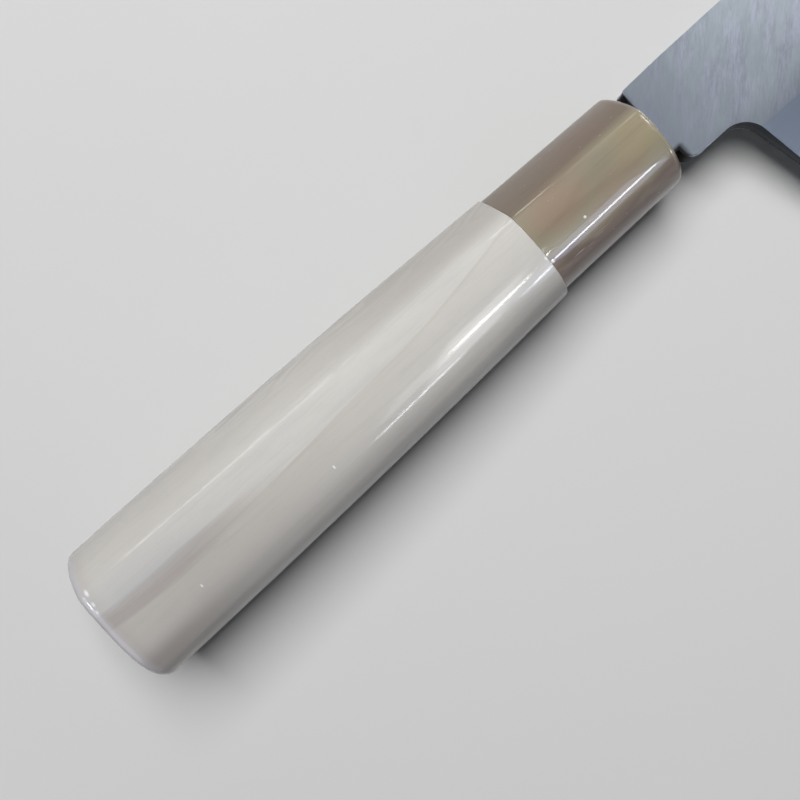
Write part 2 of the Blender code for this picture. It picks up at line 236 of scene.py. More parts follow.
class Nodes:
    """A node tree, with one short call for each kind of node that is used."""

    def __init__(self, tree: bpy.types.NodeTree) -> None:
        """Starts from a tree."""
        self.nodes = tree.nodes
        self.links = tree.links

    def fill(self, socket: Socket, value: object) -> None:
        """Links an output to a socket, or sets the socket's own value.

        Args:
            socket: The socket to fill.
            value: An output, a number, a vector or a colour.
        """
        if isinstance(value, Socket):
            self.links.new(value, socket)
        elif isinstance(value, tuple) and socket.type == "RGBA":
            socket.default_value = (*value, 1.0)
        else:
            socket.default_value = value

    def add(self, kind: str, *values: object, **settings: object) -> bpy.types.Node:
        """Adds a node, sets it and fills its first sockets.

        Args:
            kind: Blender's name for the kind of node, without the first part that all share.
            *values: What the sockets get, in their order.
            **settings: The node's settings by name.

        Returns:
            The node.
        """
        node = self.nodes.new("ShaderNode" + kind)
        for key, value in settings.items():
            setattr(node, key, value)
        for socket, value in zip(node.inputs, values):
            self.fill(socket, value)
        return node

    def math(self, operation: str, *values: object) -> Socket:
        """The result of one Math node."""
        return self.add("Math", *values, operation=operation).outputs[0]

    def sum(self, *terms: object) -> Socket:
        """The sum of numbers and outputs."""
        return reduce(partial(self.math, "ADD"), terms)

    def product(self, *terms: object) -> Socket:
        """The product of numbers and outputs."""
        return reduce(partial(self.math, "MULTIPLY"), terms)

    def most(self, *terms: object) -> Socket:
        """The largest of numbers and outputs."""
        return reduce(partial(self.math, "MAXIMUM"), terms)

    def cycle(self, value: object, period: float) -> Socket:
        """How far a value is through its period, from 0 to 1."""
        return self.math("FRACT", self.math("DIVIDE", value, period))

    def between(self, share: object, first: float, second: float) -> Socket:
        """A number that goes from one value to another with a share."""
        return self.math("MULTIPLY_ADD", share, second - first, first)

    def vector(self, operation: str, *vectors: object) -> Socket:
        """The vector that one Vector Math node gives."""
        return self.add("VectorMath", *vectors, operation=operation).outputs[0]

    def toward(self, vector: Socket, direction: Vector) -> Socket:
        """How far a vector points in a direction."""
        return self.add("VectorMath", vector, direction, operation="DOT_PRODUCT").outputs["Value"]

    def length(self, vector: Socket) -> Socket:
        """The length of a vector."""
        return self.add("VectorMath", vector, operation="LENGTH").outputs["Value"]

    def spread(self, value: object, low: float, high: float, start: float = 0.0, end: float = 1.0) -> Socket:
        """Maps a value smoothly from one range to another and holds it at both ends.

        Args:
            value: The value to map.
            low: Where the first range starts.
            high: Where the first range ends.
            start: What low becomes.
            end: What high becomes.

        Returns:
            The mapped value.
        """
        node = self.add("MapRange", value, low, high, start, end, interpolation_type="SMOOTHSTEP")
        return node.outputs["Result"]

    def band(self, value: object, low: float, full: float, still_full: float, high: float) -> Socket:
        """1 where a value lies between two bounds, with soft flanks down to 0."""
        return self.product(self.spread(value, low, full), self.spread(value, high, still_full))

    def noise(
        self,
        vector: Socket,
        grain: Triple,
        detail: float = 3.0,
        roughness: float = 0.5,
        distortion: float = 0.0,
    ) -> Socket:
        """Smooth noise whose features have a given size along each axis.

        Args:
            vector: The position to read.
            grain: The features' size along X, Y and Z, in metres.
            detail: How many finer layers are added.
            roughness: How strong the finer layers are.
            distortion: How much the pattern is stirred.

        Returns:
            A value that stays mostly between 0.3 and 0.7.
        """
        node = self.add("TexNoise", self.vector("MULTIPLY", vector, tuple(1 / size for size in grain)))
        settings = {"Scale": 1.0, "Detail": detail, "Roughness": roughness, "Distortion": distortion}
        for name, number in settings.items():
            node.inputs[name].default_value = number
        return node.outputs["Fac"]

    def mix(self, share: object, first: object, second: object) -> Socket:
        """Blends two colours.

        Args:
            share: How much of the second colour there is.
            first: The colour at a share of 0.
            second: The colour at a share of 1.

        Returns:
            The blended colour.
        """
        node = self.add("Mix", share, data_type="RGBA")
        self.fill(node.inputs[6], first)
        self.fill(node.inputs[7], second)
        return node.outputs[2]

    def layered(self, base: object, *layers: tuple[object, object]) -> Socket:
        """Lays colours over a base, one after another.

        Args:
            base: The lowest colour.
            *layers: Pairs of a share and a colour, from the lowest up.

        Returns:
            The colour that shows.
        """
        for share, colour in layers:
            base = self.mix(share, base, colour)
        return base


class Graph(Nodes):
    """A material's nodes round its Principled shader, laid out in the knife's own axes.

    Attributes:
        here: The shaded point.
        x: Its place along the knife.
        y: Its place towards the spine.
        z: Its place out of the bevelled face.
    """

    def __init__(self, name: str, axes: KnifeAxes) -> None:
        """Starts a material.

        Args:
            name: The material's name.
            axes: The knife's axes.
        """
        self.material = bpy.data.materials.new(name)
        self.material.use_nodes = True
        super().__init__(self.material.node_tree)
        self.shader = self.nodes["Principled BSDF"]
        inverse = axes.matrix.inverted()
        place = self.add("TexCoord").outputs["Object"]
        self.here = self.mapped(place, inverse.translation, inverse.to_euler("XYZ"))
        self.x, self.y, self.z = self.add("SeparateXYZ", self.here).outputs

    def mapped(self, vector: Socket, move: Vector, turn: Euler) -> Socket:
        """A position, turned and then moved."""
        return self.add("Mapping", vector, move, turn).outputs[0]

    def turned(self, angle: float) -> Socket:
        """The shaded point turned about the knife's Z, so that X runs at the angle."""
        return self.mapped(self.here, Vector(), Euler((0.0, 0.0, -angle)))

    def grain(self, length: float, width: float, **settings: float) -> Socket:
        """Noise at the shaded point, drawn out along the knife as fibres are."""
        return self.noise(self.here, (length, width, width), **settings)

    def spot(self, centre: Triple, size: Triple) -> Socket:
        """A soft-edged round spot.

        Args:
            centre: The middle of the spot.
            size: How far it reaches along X, Y and Z, in metres.

        Returns:
            A share from 1 at the middle to 0 outside.
        """
        offset = self.vector("SUBTRACT", self.here, centre)
        scaled = self.vector("MULTIPLY", offset, tuple(1 / reach for reach in size))
        return self.spread(self.length(scaled), 1.0, 0.3)

    def set(self, **values: object) -> None:
        """Sets or links sockets of the Principled shader, with _ for each blank in a name."""
        for key, value in values.items():
            self.fill(self.shader.inputs[key.replace("_", " ")], value)

    def bump(self, height: Socket, depth: float) -> None:
        """Gives the shader a fine relief.

        Args:
            height: The relief, from 0 to 1.
            depth: How deep it is, in metres.
        """
        node = self.add("Bump")
        for name, value in {"Strength": 1.0, "Distance": depth, "Height": height}.items():
            self.fill(node.inputs[name], value)
        self.set(Normal=node.outputs["Normal"])


@dataclass(frozen=True)
class MagnoliaFinish:
    """Pale magnolia, close-grained and rubbed to a gloss.

    Attributes:
        pale: Colour of the early wood.
        late: Colour of the late wood, at the end of each year's ring.
        grey: Colour of the weathered streaks, and of the painted shade on the underside and towards the
            butt.
        haze: Colour of the bluish cloud above the vein near the butt.
        umber: Colour of the vein near the butt, and of the painted shade on the underside and at the butt's
            end.
        crest_shade: Colour of the painted shade on the spine side of the face by the ferrule.
        butt_rim_highlight: Colour of the painted lavender highlight on the rounded rim of the butt.
        ridge_highlight: Colour of the painted highlight along the ridge.
        nick_and_sparkle: Colour of the small nicked spots and of the painted sparkles.
        burnt: Colour of the burnt slot.
        ring_width: Width between two dark rings.
        year_width: Width of a plain year's ring, which shows beside the front.
        pith: Y and Z of the tree's pith, beside the handle.
        ring_dip: X where the rings on the front dip lowest.
        ring_bend: How fast the rings rise on both sides of the dip.
        ring_hook: How much faster they rise on the butt's side.
        ring_line: Distance from the pith at which the ring on the front ends.
        ridge: Y of the handle's ridge at the butt, and how fast it falls towards the ferrule.
        nicks_and_sparkles: X, Y and size of the nicked spots and the painted sparkles on the front.
        nick_size: How far a spot of size 1 reaches along X, Y and Z.
        relief: How deep the fibres and pores are.
    """

    pale: Colour = (0.610, 0.594, 0.558)
    late: Colour = (0.500, 0.460, 0.405)
    grey: Colour = (0.420, 0.408, 0.395)
    haze: Colour = (0.420, 0.428, 0.448)
    umber: Colour = (0.330, 0.298, 0.280)
    crest_shade: Colour = (0.410, 0.385, 0.350)
    butt_rim_highlight: Colour = (0.500, 0.498, 0.575)
    ridge_highlight: Colour = (0.700, 0.690, 0.665)
    nick_and_sparkle: Colour = (0.920, 0.920, 0.945)
    burnt: Colour = (0.035, 0.025, 0.020)
    roughness: float = 0.42
    gloss: float = 1.0
    gloss_roughness: float = 0.10
    ring_width: float = 0.0165
    year_width: float = 0.0022
    pith: Pair = (-0.075, -0.030)
    ring_dip: float = 0.034
    ring_bend: float = 1.10
    ring_hook: float = 0.45
    ring_line: float = 0.0858
    ridge: Pair = (0.0069, 0.0170)
    nicks_and_sparkles: tuple[Triple, ...] = (
        # two nicked spots
        (0.0503, -0.0067, 1.0),
        (0.0187, -0.0064, 1.0),
        # painted sparkles: three highlights on the butt's rim
        (0.0026, 0.0064, 1.9),
        (0.0023, 0.0041, 1.6),
        (0.0019, 0.0026, 1.3),
        # a painted sparkle by the joint
        (0.1037, -0.0047, 1.0),
    )
    nick_size: Triple = (0.0003, 0.0006, 0.004)
    relief: float = 0.000005

    def material(self, axes: KnifeAxes, slot: "TangSlot") -> bpy.types.Material:
        """Builds the wood.

        Args:
            axes: The knife's axes.
            slot: The burnt slot, which darkens the wood round it.

        Returns:
            The wood's material.
        """
        graph = Graph("magnolia_wood", axes)
        x, y, spread, product, between = graph.x, graph.y, graph.spread, graph.product, graph.between
        fibre = graph.grain(0.010, 0.00024, roughness=0.6)
        flow = graph.grain(0.035, 0.0024, roughness=0.55)
        streaks = graph.grain(0.026, 0.0007, detail=2.0)
        patches = graph.grain(0.040, 0.008, detail=2.0)
        mottle = graph.grain(0.006, 0.0022, detail=2.0)
        pores = graph.grain(0.0018, 0.00010, detail=1.0)
        past = self.past_ring_line(graph)
        beside = graph.most(spread(graph.z, 0.0062, 0.0015), spread(x, 0.0008, 0.0002))
        vein, cloud = self.vein(graph, past, flow)
        # painted shade: how much the underside is darkened, near the butt and near the ferrule
        low_grey = graph.sum(
            spread(x, 0.110, 0.045, 0.1, 0.42),
            spread(x, 0.045, 0.006, 0.0, 0.50),
            spread(x, 0.086, 0.100, 0.0, 0.45),
        )
        low_umber = graph.sum(spread(x, 0.030, 0.004, 0.0, 0.85), spread(x, 0.080, 0.098, 0.0, 0.40))
        colour = graph.layered(
            self.pale,
            (self.late_share(graph, past, patches), self.late),
            (self.year_lines(graph, past, patches, beside), self.umber),
            (spread(patches, 0.48, 0.72, 0.0, 0.16), self.grey),
            (product(spread(flow, 0.50, 0.72), between(beside, 0.15, 0.42)), self.grey),
            (product(spread(streaks, 0.48, 0.70), between(beside, 0.15, 0.62)), self.grey),
            (spread(mottle, 0.40, 0.70, 0.0, 0.08), self.grey),
            # painted shade: greyer towards the butt
            (spread(x, 0.070, 0.0, 0.0, 0.22), self.grey),
            # painted shade on the underside
            (product(spread(y, -0.0055, -0.0120), low_grey), self.grey),
            (product(spread(y, -0.0070, -0.0115), low_umber), self.umber),
            # painted shade: darker at the butt's very end
            (spread(x, 0.0055, 0.0015, 0.0, 0.30), self.umber),
            # painted shade: the spine side of the face darkened towards the ferrule
            (product(spread(y, 0.0050, 0.0085), spread(x, 0.045, 0.090, 0.22, 0.72)), self.crest_shade),
            (cloud, self.haze),
            (vein, self.umber),
            (product(spread(fibre, 0.48, 0.76), between(beside, 0.15, 0.50)), self.grey),
            (product(spread(pores, 0.64, 0.80), between(beside, 0.22, 0.55)), self.umber),
            # painted highlight: a lavender band on the rounded rim of the butt
            (product(graph.band(x, 0.0, 0.0006, 0.0014, 0.0030), 0.38), self.butt_rim_highlight),
            # painted highlight: pale broken dashes along the ridge
            (self.painted_ridge_highlight(graph), self.ridge_highlight),
            # pale spots: nicked spots and painted sparkles
            *((self.pale_spot(graph, *pale_spot), self.nick_and_sparkle) for pale_spot in self.nicks_and_sparkles),
            (slot.char(graph), self.burnt),
        )
        graph.set(
            Base_Color=colour,
            Roughness=between(fibre, self.roughness - 0.05, self.roughness + 0.07),
            Specular_IOR_Level=0.3,
            Coat_Weight=self.gloss,
            Coat_Roughness=self.gloss_roughness,
        )
        height = graph.sum(fibre, product(pores, -0.4))
        graph.bump(product(height, between(beside, 1.0, 2.4)), self.relief)
        return graph.material

    def past_ring_line(self, graph: Graph) -> Socket:
        """How far the shaded point lies outside the ring that ends on the front.

        Args:
            graph: The wood's nodes.

        Returns:
            The distance in metres.
        """
        sway = graph.product(graph.grain(0.045, 0.016, detail=2.0), 0.003)
        across = graph.sum(graph.y, -self.pith[0], sway)
        from_pith = graph.add("CombineXYZ", 0.0, across, graph.sum(graph.z, -self.pith[1])).outputs[0]
        aside = graph.math("SUBTRACT", graph.x, self.ring_dip)
        buttward = graph.math("MINIMUM", aside, 0.0)
        return graph.sum(
            graph.length(from_pith),
            graph.product(aside, aside, -self.ring_bend),
            graph.product(buttward, buttward, -self.ring_hook),
            -self.ring_line,
        )

    def late_share(self, graph: Graph, past: Socket, patches: Socket) -> Socket:
        """How far the wood has gone over to its late colour, with a thin line at each ring's end.

        Args:
            graph: The wood's nodes.
            past: How far the shaded point lies outside the ring line.
            patches: Broad noise, which makes the line come and go.

        Returns:
            A share from 0 to 1.
        """
        spread, product = graph.spread, graph.product
        season = graph.cycle(past, self.ring_width)
        slow = product(spread(season, 0.25, 1.0, 0.0, 0.30), spread(graph.x, 0.055, 0.085, 1.0, 0.6))
        line = product(spread(season, 0.95, 0.985), spread(patches, 0.35, 0.60, 0.12, 0.45))
        return product(graph.sum(slow, line), spread(season, 1.0, 0.988))

    def year_lines(self, graph: Graph, past: Socket, patches: Socket, beside: Socket) -> Socket:
        """The plain years' rings, which hardly show on the front.

        Args:
            graph: The wood's nodes.
            past: How far the shaded point lies outside the ring line.
            patches: Broad noise, which makes the rings stray.
            beside: Share from 0 on the front to 1 on the sides, the back and the butt.

        Returns:
            A share from 0 to 1.
        """
        year = graph.cycle(graph.sum(past, graph.product(patches, 0.020)), self.year_width)
        return graph.product(graph.band(year, 0.30, 0.92, 0.95, 1.0), graph.between(beside, 0.0, 0.50))

    def painted_ridge_highlight(self, graph: Graph) -> Socket:
        """Where a painted highlight lies along the ridge, in short broken dashes.

        Args:
            graph: The wood's nodes.

        Returns:
            A share from 0 to 1.
        """
        start, fall = self.ridge
        off = graph.sum(graph.y, graph.math("MULTIPLY_ADD", graph.x, fall, -start))
        dashes = graph.grain(0.0050, 0.02, detail=2.0, roughness=0.6)
        return graph.product(
            graph.spread(graph.math("ABSOLUTE", off), 0.00040, 0.00008),
            graph.spread(graph.z, 0.002, 0.005),
            graph.spread(dashes, 0.46, 0.64, 0.0, 0.42),
            graph.band(graph.x, 0.006, 0.020, 0.060, 0.080),
        )

    def pale_spot(self, graph: Graph, x: float, y: float, large: float) -> Socket:
        """One small pale spot on the front, as a share from 0 to 1."""
        length, width, depth = self.nick_size
        return graph.spot((x, y, 0.009), (length * large, width * large, depth))

    @staticmethod
    def vein(graph: Graph, past: Socket, flow: Socket) -> tuple[Socket, Socket]:
        """The dark vein along the ring line near the butt, and the bluish cloud above it.

        Args:
            graph: The wood's nodes.
            past: How far the shaded point lies outside the ring line.
            flow: Noise drawn out along the grain, which frays the vein.

        Returns:
            The shares of the vein and of the cloud, from 0 to 1.
        """
        x, band, spread, product = graph.x, graph.band, graph.spread, graph.product
        frayed = graph.sum(past, graph.between(flow, -0.0025, 0.0025))
        below = product(band(frayed, -0.0150, -0.0035, -0.0013, 0.0004), spread(x, 0.070, 0.016, 0.0, 0.42))
        heart = product(band(frayed, -0.0030, -0.0008, 0.0, 0.0019), spread(x, 0.048, 0.018, 0.0, 0.78))
        line = product(band(past, -0.0011, -0.0004, -0.0002, 0.0), band(x, 0.002, 0.014, 0.026, 0.044), 0.45)
        cloud = product(
            band(frayed, -0.0003, 0.0012, 0.0008, 0.0070), band(x, -0.002, 0.008, 0.014, 0.036), 0.60
        )
        front = spread(graph.z, -0.002, 0.004)
        return product(graph.most(below, line, heart), front), product(cloud, front)


@dataclass(frozen=True)
class HornFinish:
    """Brown and olive buffalo horn, softly clouded and polished.

    Attributes:
        olive: Colour of most of it.
        brown: Colour of the warm clouds.
        gold: Colour of the glow by the front rim.
        dark: Colour of the veils and the veins, and of the painted shade on the facet.
        pale: Colour of the lightest veils.
        red: Colour of the side under the handle's axis: partly the horn's own red-brown, partly painted
            shade.
        shine: Colour of the pale speck, the painted sparkle and the fine scratches painted bright.
        warm_spots: Middle and size of the two large warm clouds.
        gold_spot: Middle and size of the glow.
        lit_scratch_spot: Middle and size of the patch of bright-painted scratches beside the highlight.
        specks_and_sparkles: X and Y of a pale speck and of a painted sparkle, and how large each is.
        relief: How deep the fibres are.
    """

    olive: Colour = (0.262, 0.234, 0.160)
    brown: Colour = (0.280, 0.205, 0.142)
    gold: Colour = (0.310, 0.262, 0.155)
    dark: Colour = (0.105, 0.063, 0.037)
    pale: Colour = (0.345, 0.305, 0.225)
    red: Colour = (0.118, 0.068, 0.052)
    shine: Colour = (0.850, 0.860, 0.880)
    roughness: float = 0.30
    gloss: float = 1.0
    gloss_roughness: float = 0.035
    warm_spots: tuple[Spot, ...] = (
        ((0.1115, 0.0012, 0.009), (0.0100, 0.0060, 0.009)),
        ((0.1230, 0.0085, 0.005), (0.0130, 0.0040, 0.009)),
    )
    gold_spot: Spot = ((0.1310, 0.0010, 0.008), (0.0090, 0.0060, 0.009))
    lit_scratch_spot: Spot = ((0.1128, -0.0080, 0.007), (0.0055, 0.0010, 0.004))
    # a pale speck, then a painted sparkle by the joint
    specks_and_sparkles: tuple[Triple, ...] = ((0.1141, -0.0039, 0.0004), (0.1046, -0.0059, 0.0005))
    relief: float = 0.0000015

    def material(self, axes: KnifeAxes) -> bpy.types.Material:
        """Builds the horn.

        Args:
            axes: The knife's axes.

        Returns:
            The horn's material.
        """
        graph = Graph("buffalo_horn", axes)
        spread, product, between = graph.spread, graph.product, graph.between
        clouds = graph.grain(0.015, 0.0070, detail=2.0, distortion=0.6)
        veils = graph.grain(0.026, 0.0045, detail=2.0, distortion=0.4)
        veins = graph.grain(0.020, 0.0010)
        fibre = graph.grain(0.016, 0.00022, detail=1.0)
        flecks = graph.grain(0.0007, 0.00030, detail=0.0)
        scratches = graph.noise(graph.here, (0.0060, 0.00016, 0.00030), detail=1.0)
        warm = [graph.spot(*spot) for spot in self.warm_spots]
        low = graph.sum(graph.y, between(clouds, -0.005, 0.005))
        beside = between(spread(graph.z, 0.0055, 0.0010), 0.09, 0.42)
        colour = graph.layered(
            self.olive,
            (graph.most(spread(clouds, 0.42, 0.66, 0.0, 0.55), *warm), self.brown),
            (product(graph.spot(*self.gold_spot), 0.7), self.gold),
            (spread(veils, 0.52, 0.72, 0.0, 0.17), self.dark),
            (spread(veils, 0.46, 0.28, 0.0, 0.11), self.pale),
            # partly painted shade: the side under the axis darkened to red-brown
            (spread(low, -0.0056, -0.0090, 0.0, 0.94), self.red),
            # painted shade: the facet darkened
            (spread(graph.y, 0.0038, 0.0060, 0.0, 0.82), self.dark),
            (product(spread(veins, 0.52, 0.74), beside), self.dark),
            (spread(fibre, 0.52, 0.78, 0.0, 0.08), self.dark),
            (spread(flecks, 0.82, 0.86, 0.0, 0.6), self.pale),
            # a pale speck and a painted sparkle
            *((graph.spot((x, y, 0.008), (size, size, 0.004)), self.shine) for x, y, size in self.specks_and_sparkles),
            # painted highlight: fine scratches painted bright beside the highlight
            (product(spread(scratches, 0.55, 0.68, 0.0, 0.40), graph.spot(*self.lit_scratch_spot)), self.shine),
        )
        graph.set(
            Base_Color=colour,
            Roughness=between(fibre, self.roughness - 0.06, self.roughness + 0.08),
            Coat_Weight=self.gloss,
            Coat_Roughness=self.gloss_roughness,
            IOR=1.54,
        )
        graph.bump(fibre, self.relief)
        return graph.material


@dataclass(frozen=True)
class SteelFinish:
    """Ground and polished steel, whose finish changes at the shinogi and towards the weld.

    Attributes:
        name: The material's name.
        flat: Colour of the flat and of the back.
        bevel: Colour of the bevel.
        flat_roughness: Roughness of the flat and of the back.
        bevel_roughness: Roughness of the bevel.
        line_angle: Which way the grinding lines run, from the knife's X to its Y.
        line_depth: How deep the grinding lines are.
        scale: Colour of the forge black on the tang, and of the painted shadow in the notch.
        mellow: Colour of the bevel right by the weld.
        honed_and_highlight: Colour of the thin polished strip along the edge, and of the painted highlight
            on the spine's rim.
        rim_share: How much of their colour the painted shade leaves on the rims towards the choil.
        wall_share: How bright the cut edges of the plate are.
        choil_share: How much of the flat's colour the painted shade leaves on the wall of the choil.
        cool_tint: What the flat's red, green and blue are multiplied by in its cooler patches.
        depth: How much the whole flat is darkened.
        calm: Where on the neck the marks start and are full, and how strong they are there.
        bevel_start: Where along the blade the bevel's finish starts and is full.
        shinogi_flank: From where above to where below the shinogi the finish changes.
        shinogi_wander: How far the shinogi wanders up and down.
        weld_flank: From where to where below the weld the haze ends.
        weld_wander: How far the haze's border wanders up and down.
        honed_strip: Where above the edge the polished strip ends and where it is full.
        choil_end: Where along the blade the painted shade on the wall of the choil ends and where it is
            full.
        notch_reach: Where ahead of the shoulder the painted shadow in the notch ends and is full.
        notch_rise: Where above the tang's lower side it ends and is full.
        shoulder_fade: How far ahead of the shoulder the tang's forge black ends.
    """

    name: str
    flat: Colour
    bevel: Colour
    flat_roughness: float
    bevel_roughness: float
    line_angle: float
    line_depth: float
    scale: Colour = (0.035, 0.033, 0.034)
    mellow: Colour = (0.41, 0.47, 0.57)
    honed_and_highlight: Colour = (0.70, 0.72, 0.76)
    rim_share: float = 0.14
    wall_share: float = 0.45
    choil_share: float = 0.10
    cool_tint: Triple = (1.035, 0.995, 1.05)
    depth: float = 0.115
    calm: tuple[float, ...] = (0.138, 0.156, 0.35, 1.0)
    bevel_start: Pair = (0.1495, 0.1515)
    shinogi_flank: Pair = (0.0010, -0.0004)
    shinogi_wander: float = 0.0005
    weld_flank: Pair = (-0.00034, -0.00018)
    weld_wander: float = 0.00045
    honed_strip: Pair = (0.0010, 0.0006)
    choil_end: Pair = (0.1620, 0.1580)
    notch_reach: Pair = (0.0026, 0.0012)
    notch_rise: Pair = (0.0012, 0.0002)
    shoulder_fade: float = 0.0004

    def material(self, axes: KnifeAxes, blade: "UsubaBlade") -> bpy.types.Material:
        """Builds the steel.

        Args:
            axes: The knife's axes.
            blade: The blade, for the places of its shinogi, its weld and its shoulders.

        Returns:
            The steel's material.
        """
        graph = Graph(self.name, axes)
        x, spread, product = graph.x, graph.spread, graph.product
        along = graph.turned(self.line_angle)
        lines = graph.noise(along, (0.0018, 0.00030, 0.004), detail=2.0, roughness=0.6)
        haze = graph.noise(graph.here, (0.012, 0.009, 0.010), detail=2.0)
        normal = graph.add("NewGeometry").outputs["Normal"]
        outward = graph.toward(normal, axes.direction(0, 0, 1))
        facing = graph.math("ABSOLUTE", outward)
        choilward = spread(graph.toward(normal, axes.direction(-0.5, -1, 0)), 0.04, 0.10)
        spineward = spread(graph.toward(normal, axes.direction(0, 1, 0)), 0.04, 0.10)
        on_bevel = product(self.below_shinogi(graph, blade, haze), spread(outward, 0.2, 0.6))
        on_flat = graph.math("SUBTRACT", 1.0, on_bevel)
        bedding = product(
            spread(graph.z, 0.00003 - blade.half, 0.00001 - blade.half), spread(outward, -0.9, -0.99)
        )
        # painted shade: rims facing the choil darkened towards black
        rim_shade = product(spread(facing, 0.998, 0.985), on_flat, choilward, 1 - self.rim_share)
        # painted highlight: pale colour on the rims facing the spine
        lit = product(graph.band(facing, 0.3, 0.6, 0.990, 0.9985), spineward)
        wall = spread(facing, 0.60, 0.30)
        # forge black on the tang, and painted shadow in the notch by the lower shoulder
        scale_and_shadow_share = self.scale_and_notch_shadow(graph, blade)
        colour = graph.layered(
            self.ground(graph, along, lines, haze),
            (on_bevel, self.satin(graph, blade)),
            (product(bedding, 0.7), self.honed_and_highlight),
            (rim_shade, BLACK),
            (product(lit, 0.85), self.honed_and_highlight),
            (wall, self.tinted((self.wall_share,) * 3)),
            # painted shade: the wall of the choil darkened
            (product(wall, choilward, spread(x, *self.choil_end)), self.tinted((self.choil_share,) * 3)),
            (scale_and_shadow_share, self.scale),
        )
        roughness = graph.sum(
            product(graph.between(lines, self.flat_roughness - 0.05, self.flat_roughness + 0.05), on_flat),
            product(on_bevel, self.bevel_roughness),
            product(rim_shade, 0.35),
            product(lit, 0.14),
            product(bedding, -0.10),
        )
        graph.set(Base_Color=colour, Metallic=1.0, Roughness=graph.most(roughness, product(scale_and_shadow_share, 0.7)))
        graph.bump(product(lines, on_flat, spread(facing, 0.960, 0.985)), self.line_depth)
        return graph.material

    def ground(self, graph: Graph, along: Socket, lines: Socket, haze: Socket) -> Socket:
        """The colour of the ground flat.

        Args:
            graph: The steel's nodes.
            along: The shaded point turned to the grinding lines.
            lines: The finest grinding lines.
            haze: Cloudy noise.

        Returns:
            The colour.
        """
        spread = graph.spread
        strokes = graph.noise(along, (0.0050, 0.00130, 0.006))
        tint = graph.noise(along, (0.010, 0.0030, 0.010), detail=2.0)
        marked = graph.product(spread(graph.x, *self.calm), spread(tint, 0.3, 0.6, 0.45, 1.1))
        ruled = graph.sum(
            spread(lines, 0.34, 0.66, -0.070, 0.070), spread(strokes, 0.32, 0.68, -0.06, 0.06)
        )
        shade = graph.sum(graph.product(ruled, marked), spread(haze, 0.30, 0.70, -0.03, 0.03), self.depth)
        cool = (spread(tint, 0.40, 0.66), self.tinted(self.cool_tint))
        return graph.layered(self.flat, cool, (shade, BLACK))

    def satin(self, graph: Graph, blade: "UsubaBlade") -> Socket:
        """The colour of the satin bevel, with its polished strip along the edge.

        Args:
            graph: The steel's nodes.
            blade: The blade, for the place of its edge and of its weld.

        Returns:
            The colour.
        """
        polish = graph.noise(graph.here, (0.010, 0.00025, 0.004), detail=2.0)
        strip_end, strip_full = (blade.edge_y + rise for rise in self.honed_strip)
        return graph.layered(
            self.bevel,
            (self.by_weld(graph, blade), self.mellow),
            (graph.spread(polish, 0.3, 0.7, 0.0, 0.04), BLACK),
            (graph.spread(graph.y, strip_end, strip_full), self.honed_and_highlight),
        )

    def scale_and_notch_shadow(self, graph: Graph, blade: "UsubaBlade") -> Socket:
        """Where the steel is black: forge black on the tang, and painted shadow in the notch at the neck's
        lower shoulder.

        Args:
            graph: The steel's nodes.
            blade: The blade, for its shoulders.

        Returns:
            A share from 0 to 1.
        """
        shoulder, low = blade.shoulder_x, blade.tang_root[0]
        # painted shadow in the notch
        notch = graph.product(
            graph.spread(graph.x, *(shoulder + reach for reach in self.notch_reach)),
            graph.spread(graph.y, *(low + rise for rise in self.notch_rise)),
        )
        return graph.most(graph.spread(graph.x, shoulder + self.shoulder_fade, shoulder), notch)

    def below_shinogi(self, graph: Graph, blade: "UsubaBlade", haze: Socket) -> Socket:
        """Where the bevel's own finish starts, a soft and slightly wandering line.

        Args:
            graph: The steel's nodes.
            blade: The blade, for its shinogi.
            haze: Cloudy noise, which makes the line wander.

        Returns:
            A share from 0 on the flat to 1 on the bevel.
        """
        slope, start = blade.bevel_rule()
        wander = graph.between(haze, -self.shinogi_wander, self.shinogi_wander)
        above = graph.sum(graph.y, -start, graph.product(graph.x, -slope), wander)
        return graph.product(
            graph.spread(above, *self.shinogi_flank), graph.spread(graph.x, *self.bevel_start)
        )

    def by_weld(self, graph: Graph, blade: "UsubaBlade") -> Socket:
        """Where the cladding's haze lies over the edge steel: a soft, wavy border just below the weld.

        Args:
            graph: The steel's nodes.
            blade: The blade, for the place of its weld.

        Returns:
            A share from 0 on the clear steel to 1 at the weld.
        """
        slope = blade.weld_slope()
        waves = graph.grain(0.009, 0.02, detail=4.0, roughness=0.6)
        above = graph.sum(
            graph.z,
            slope * blade.choil_x - blade.weld_height(),
            graph.product(graph.x, -slope),
            graph.between(waves, -self.weld_wander, self.weld_wander),
        )
        return graph.spread(above, *self.weld_flank)

    def tinted(self, shares: Triple) -> Colour:
        """The flat's colour with each part multiplied by its own number."""
        return tuple(part * share for part, share in zip(self.flat, shares))


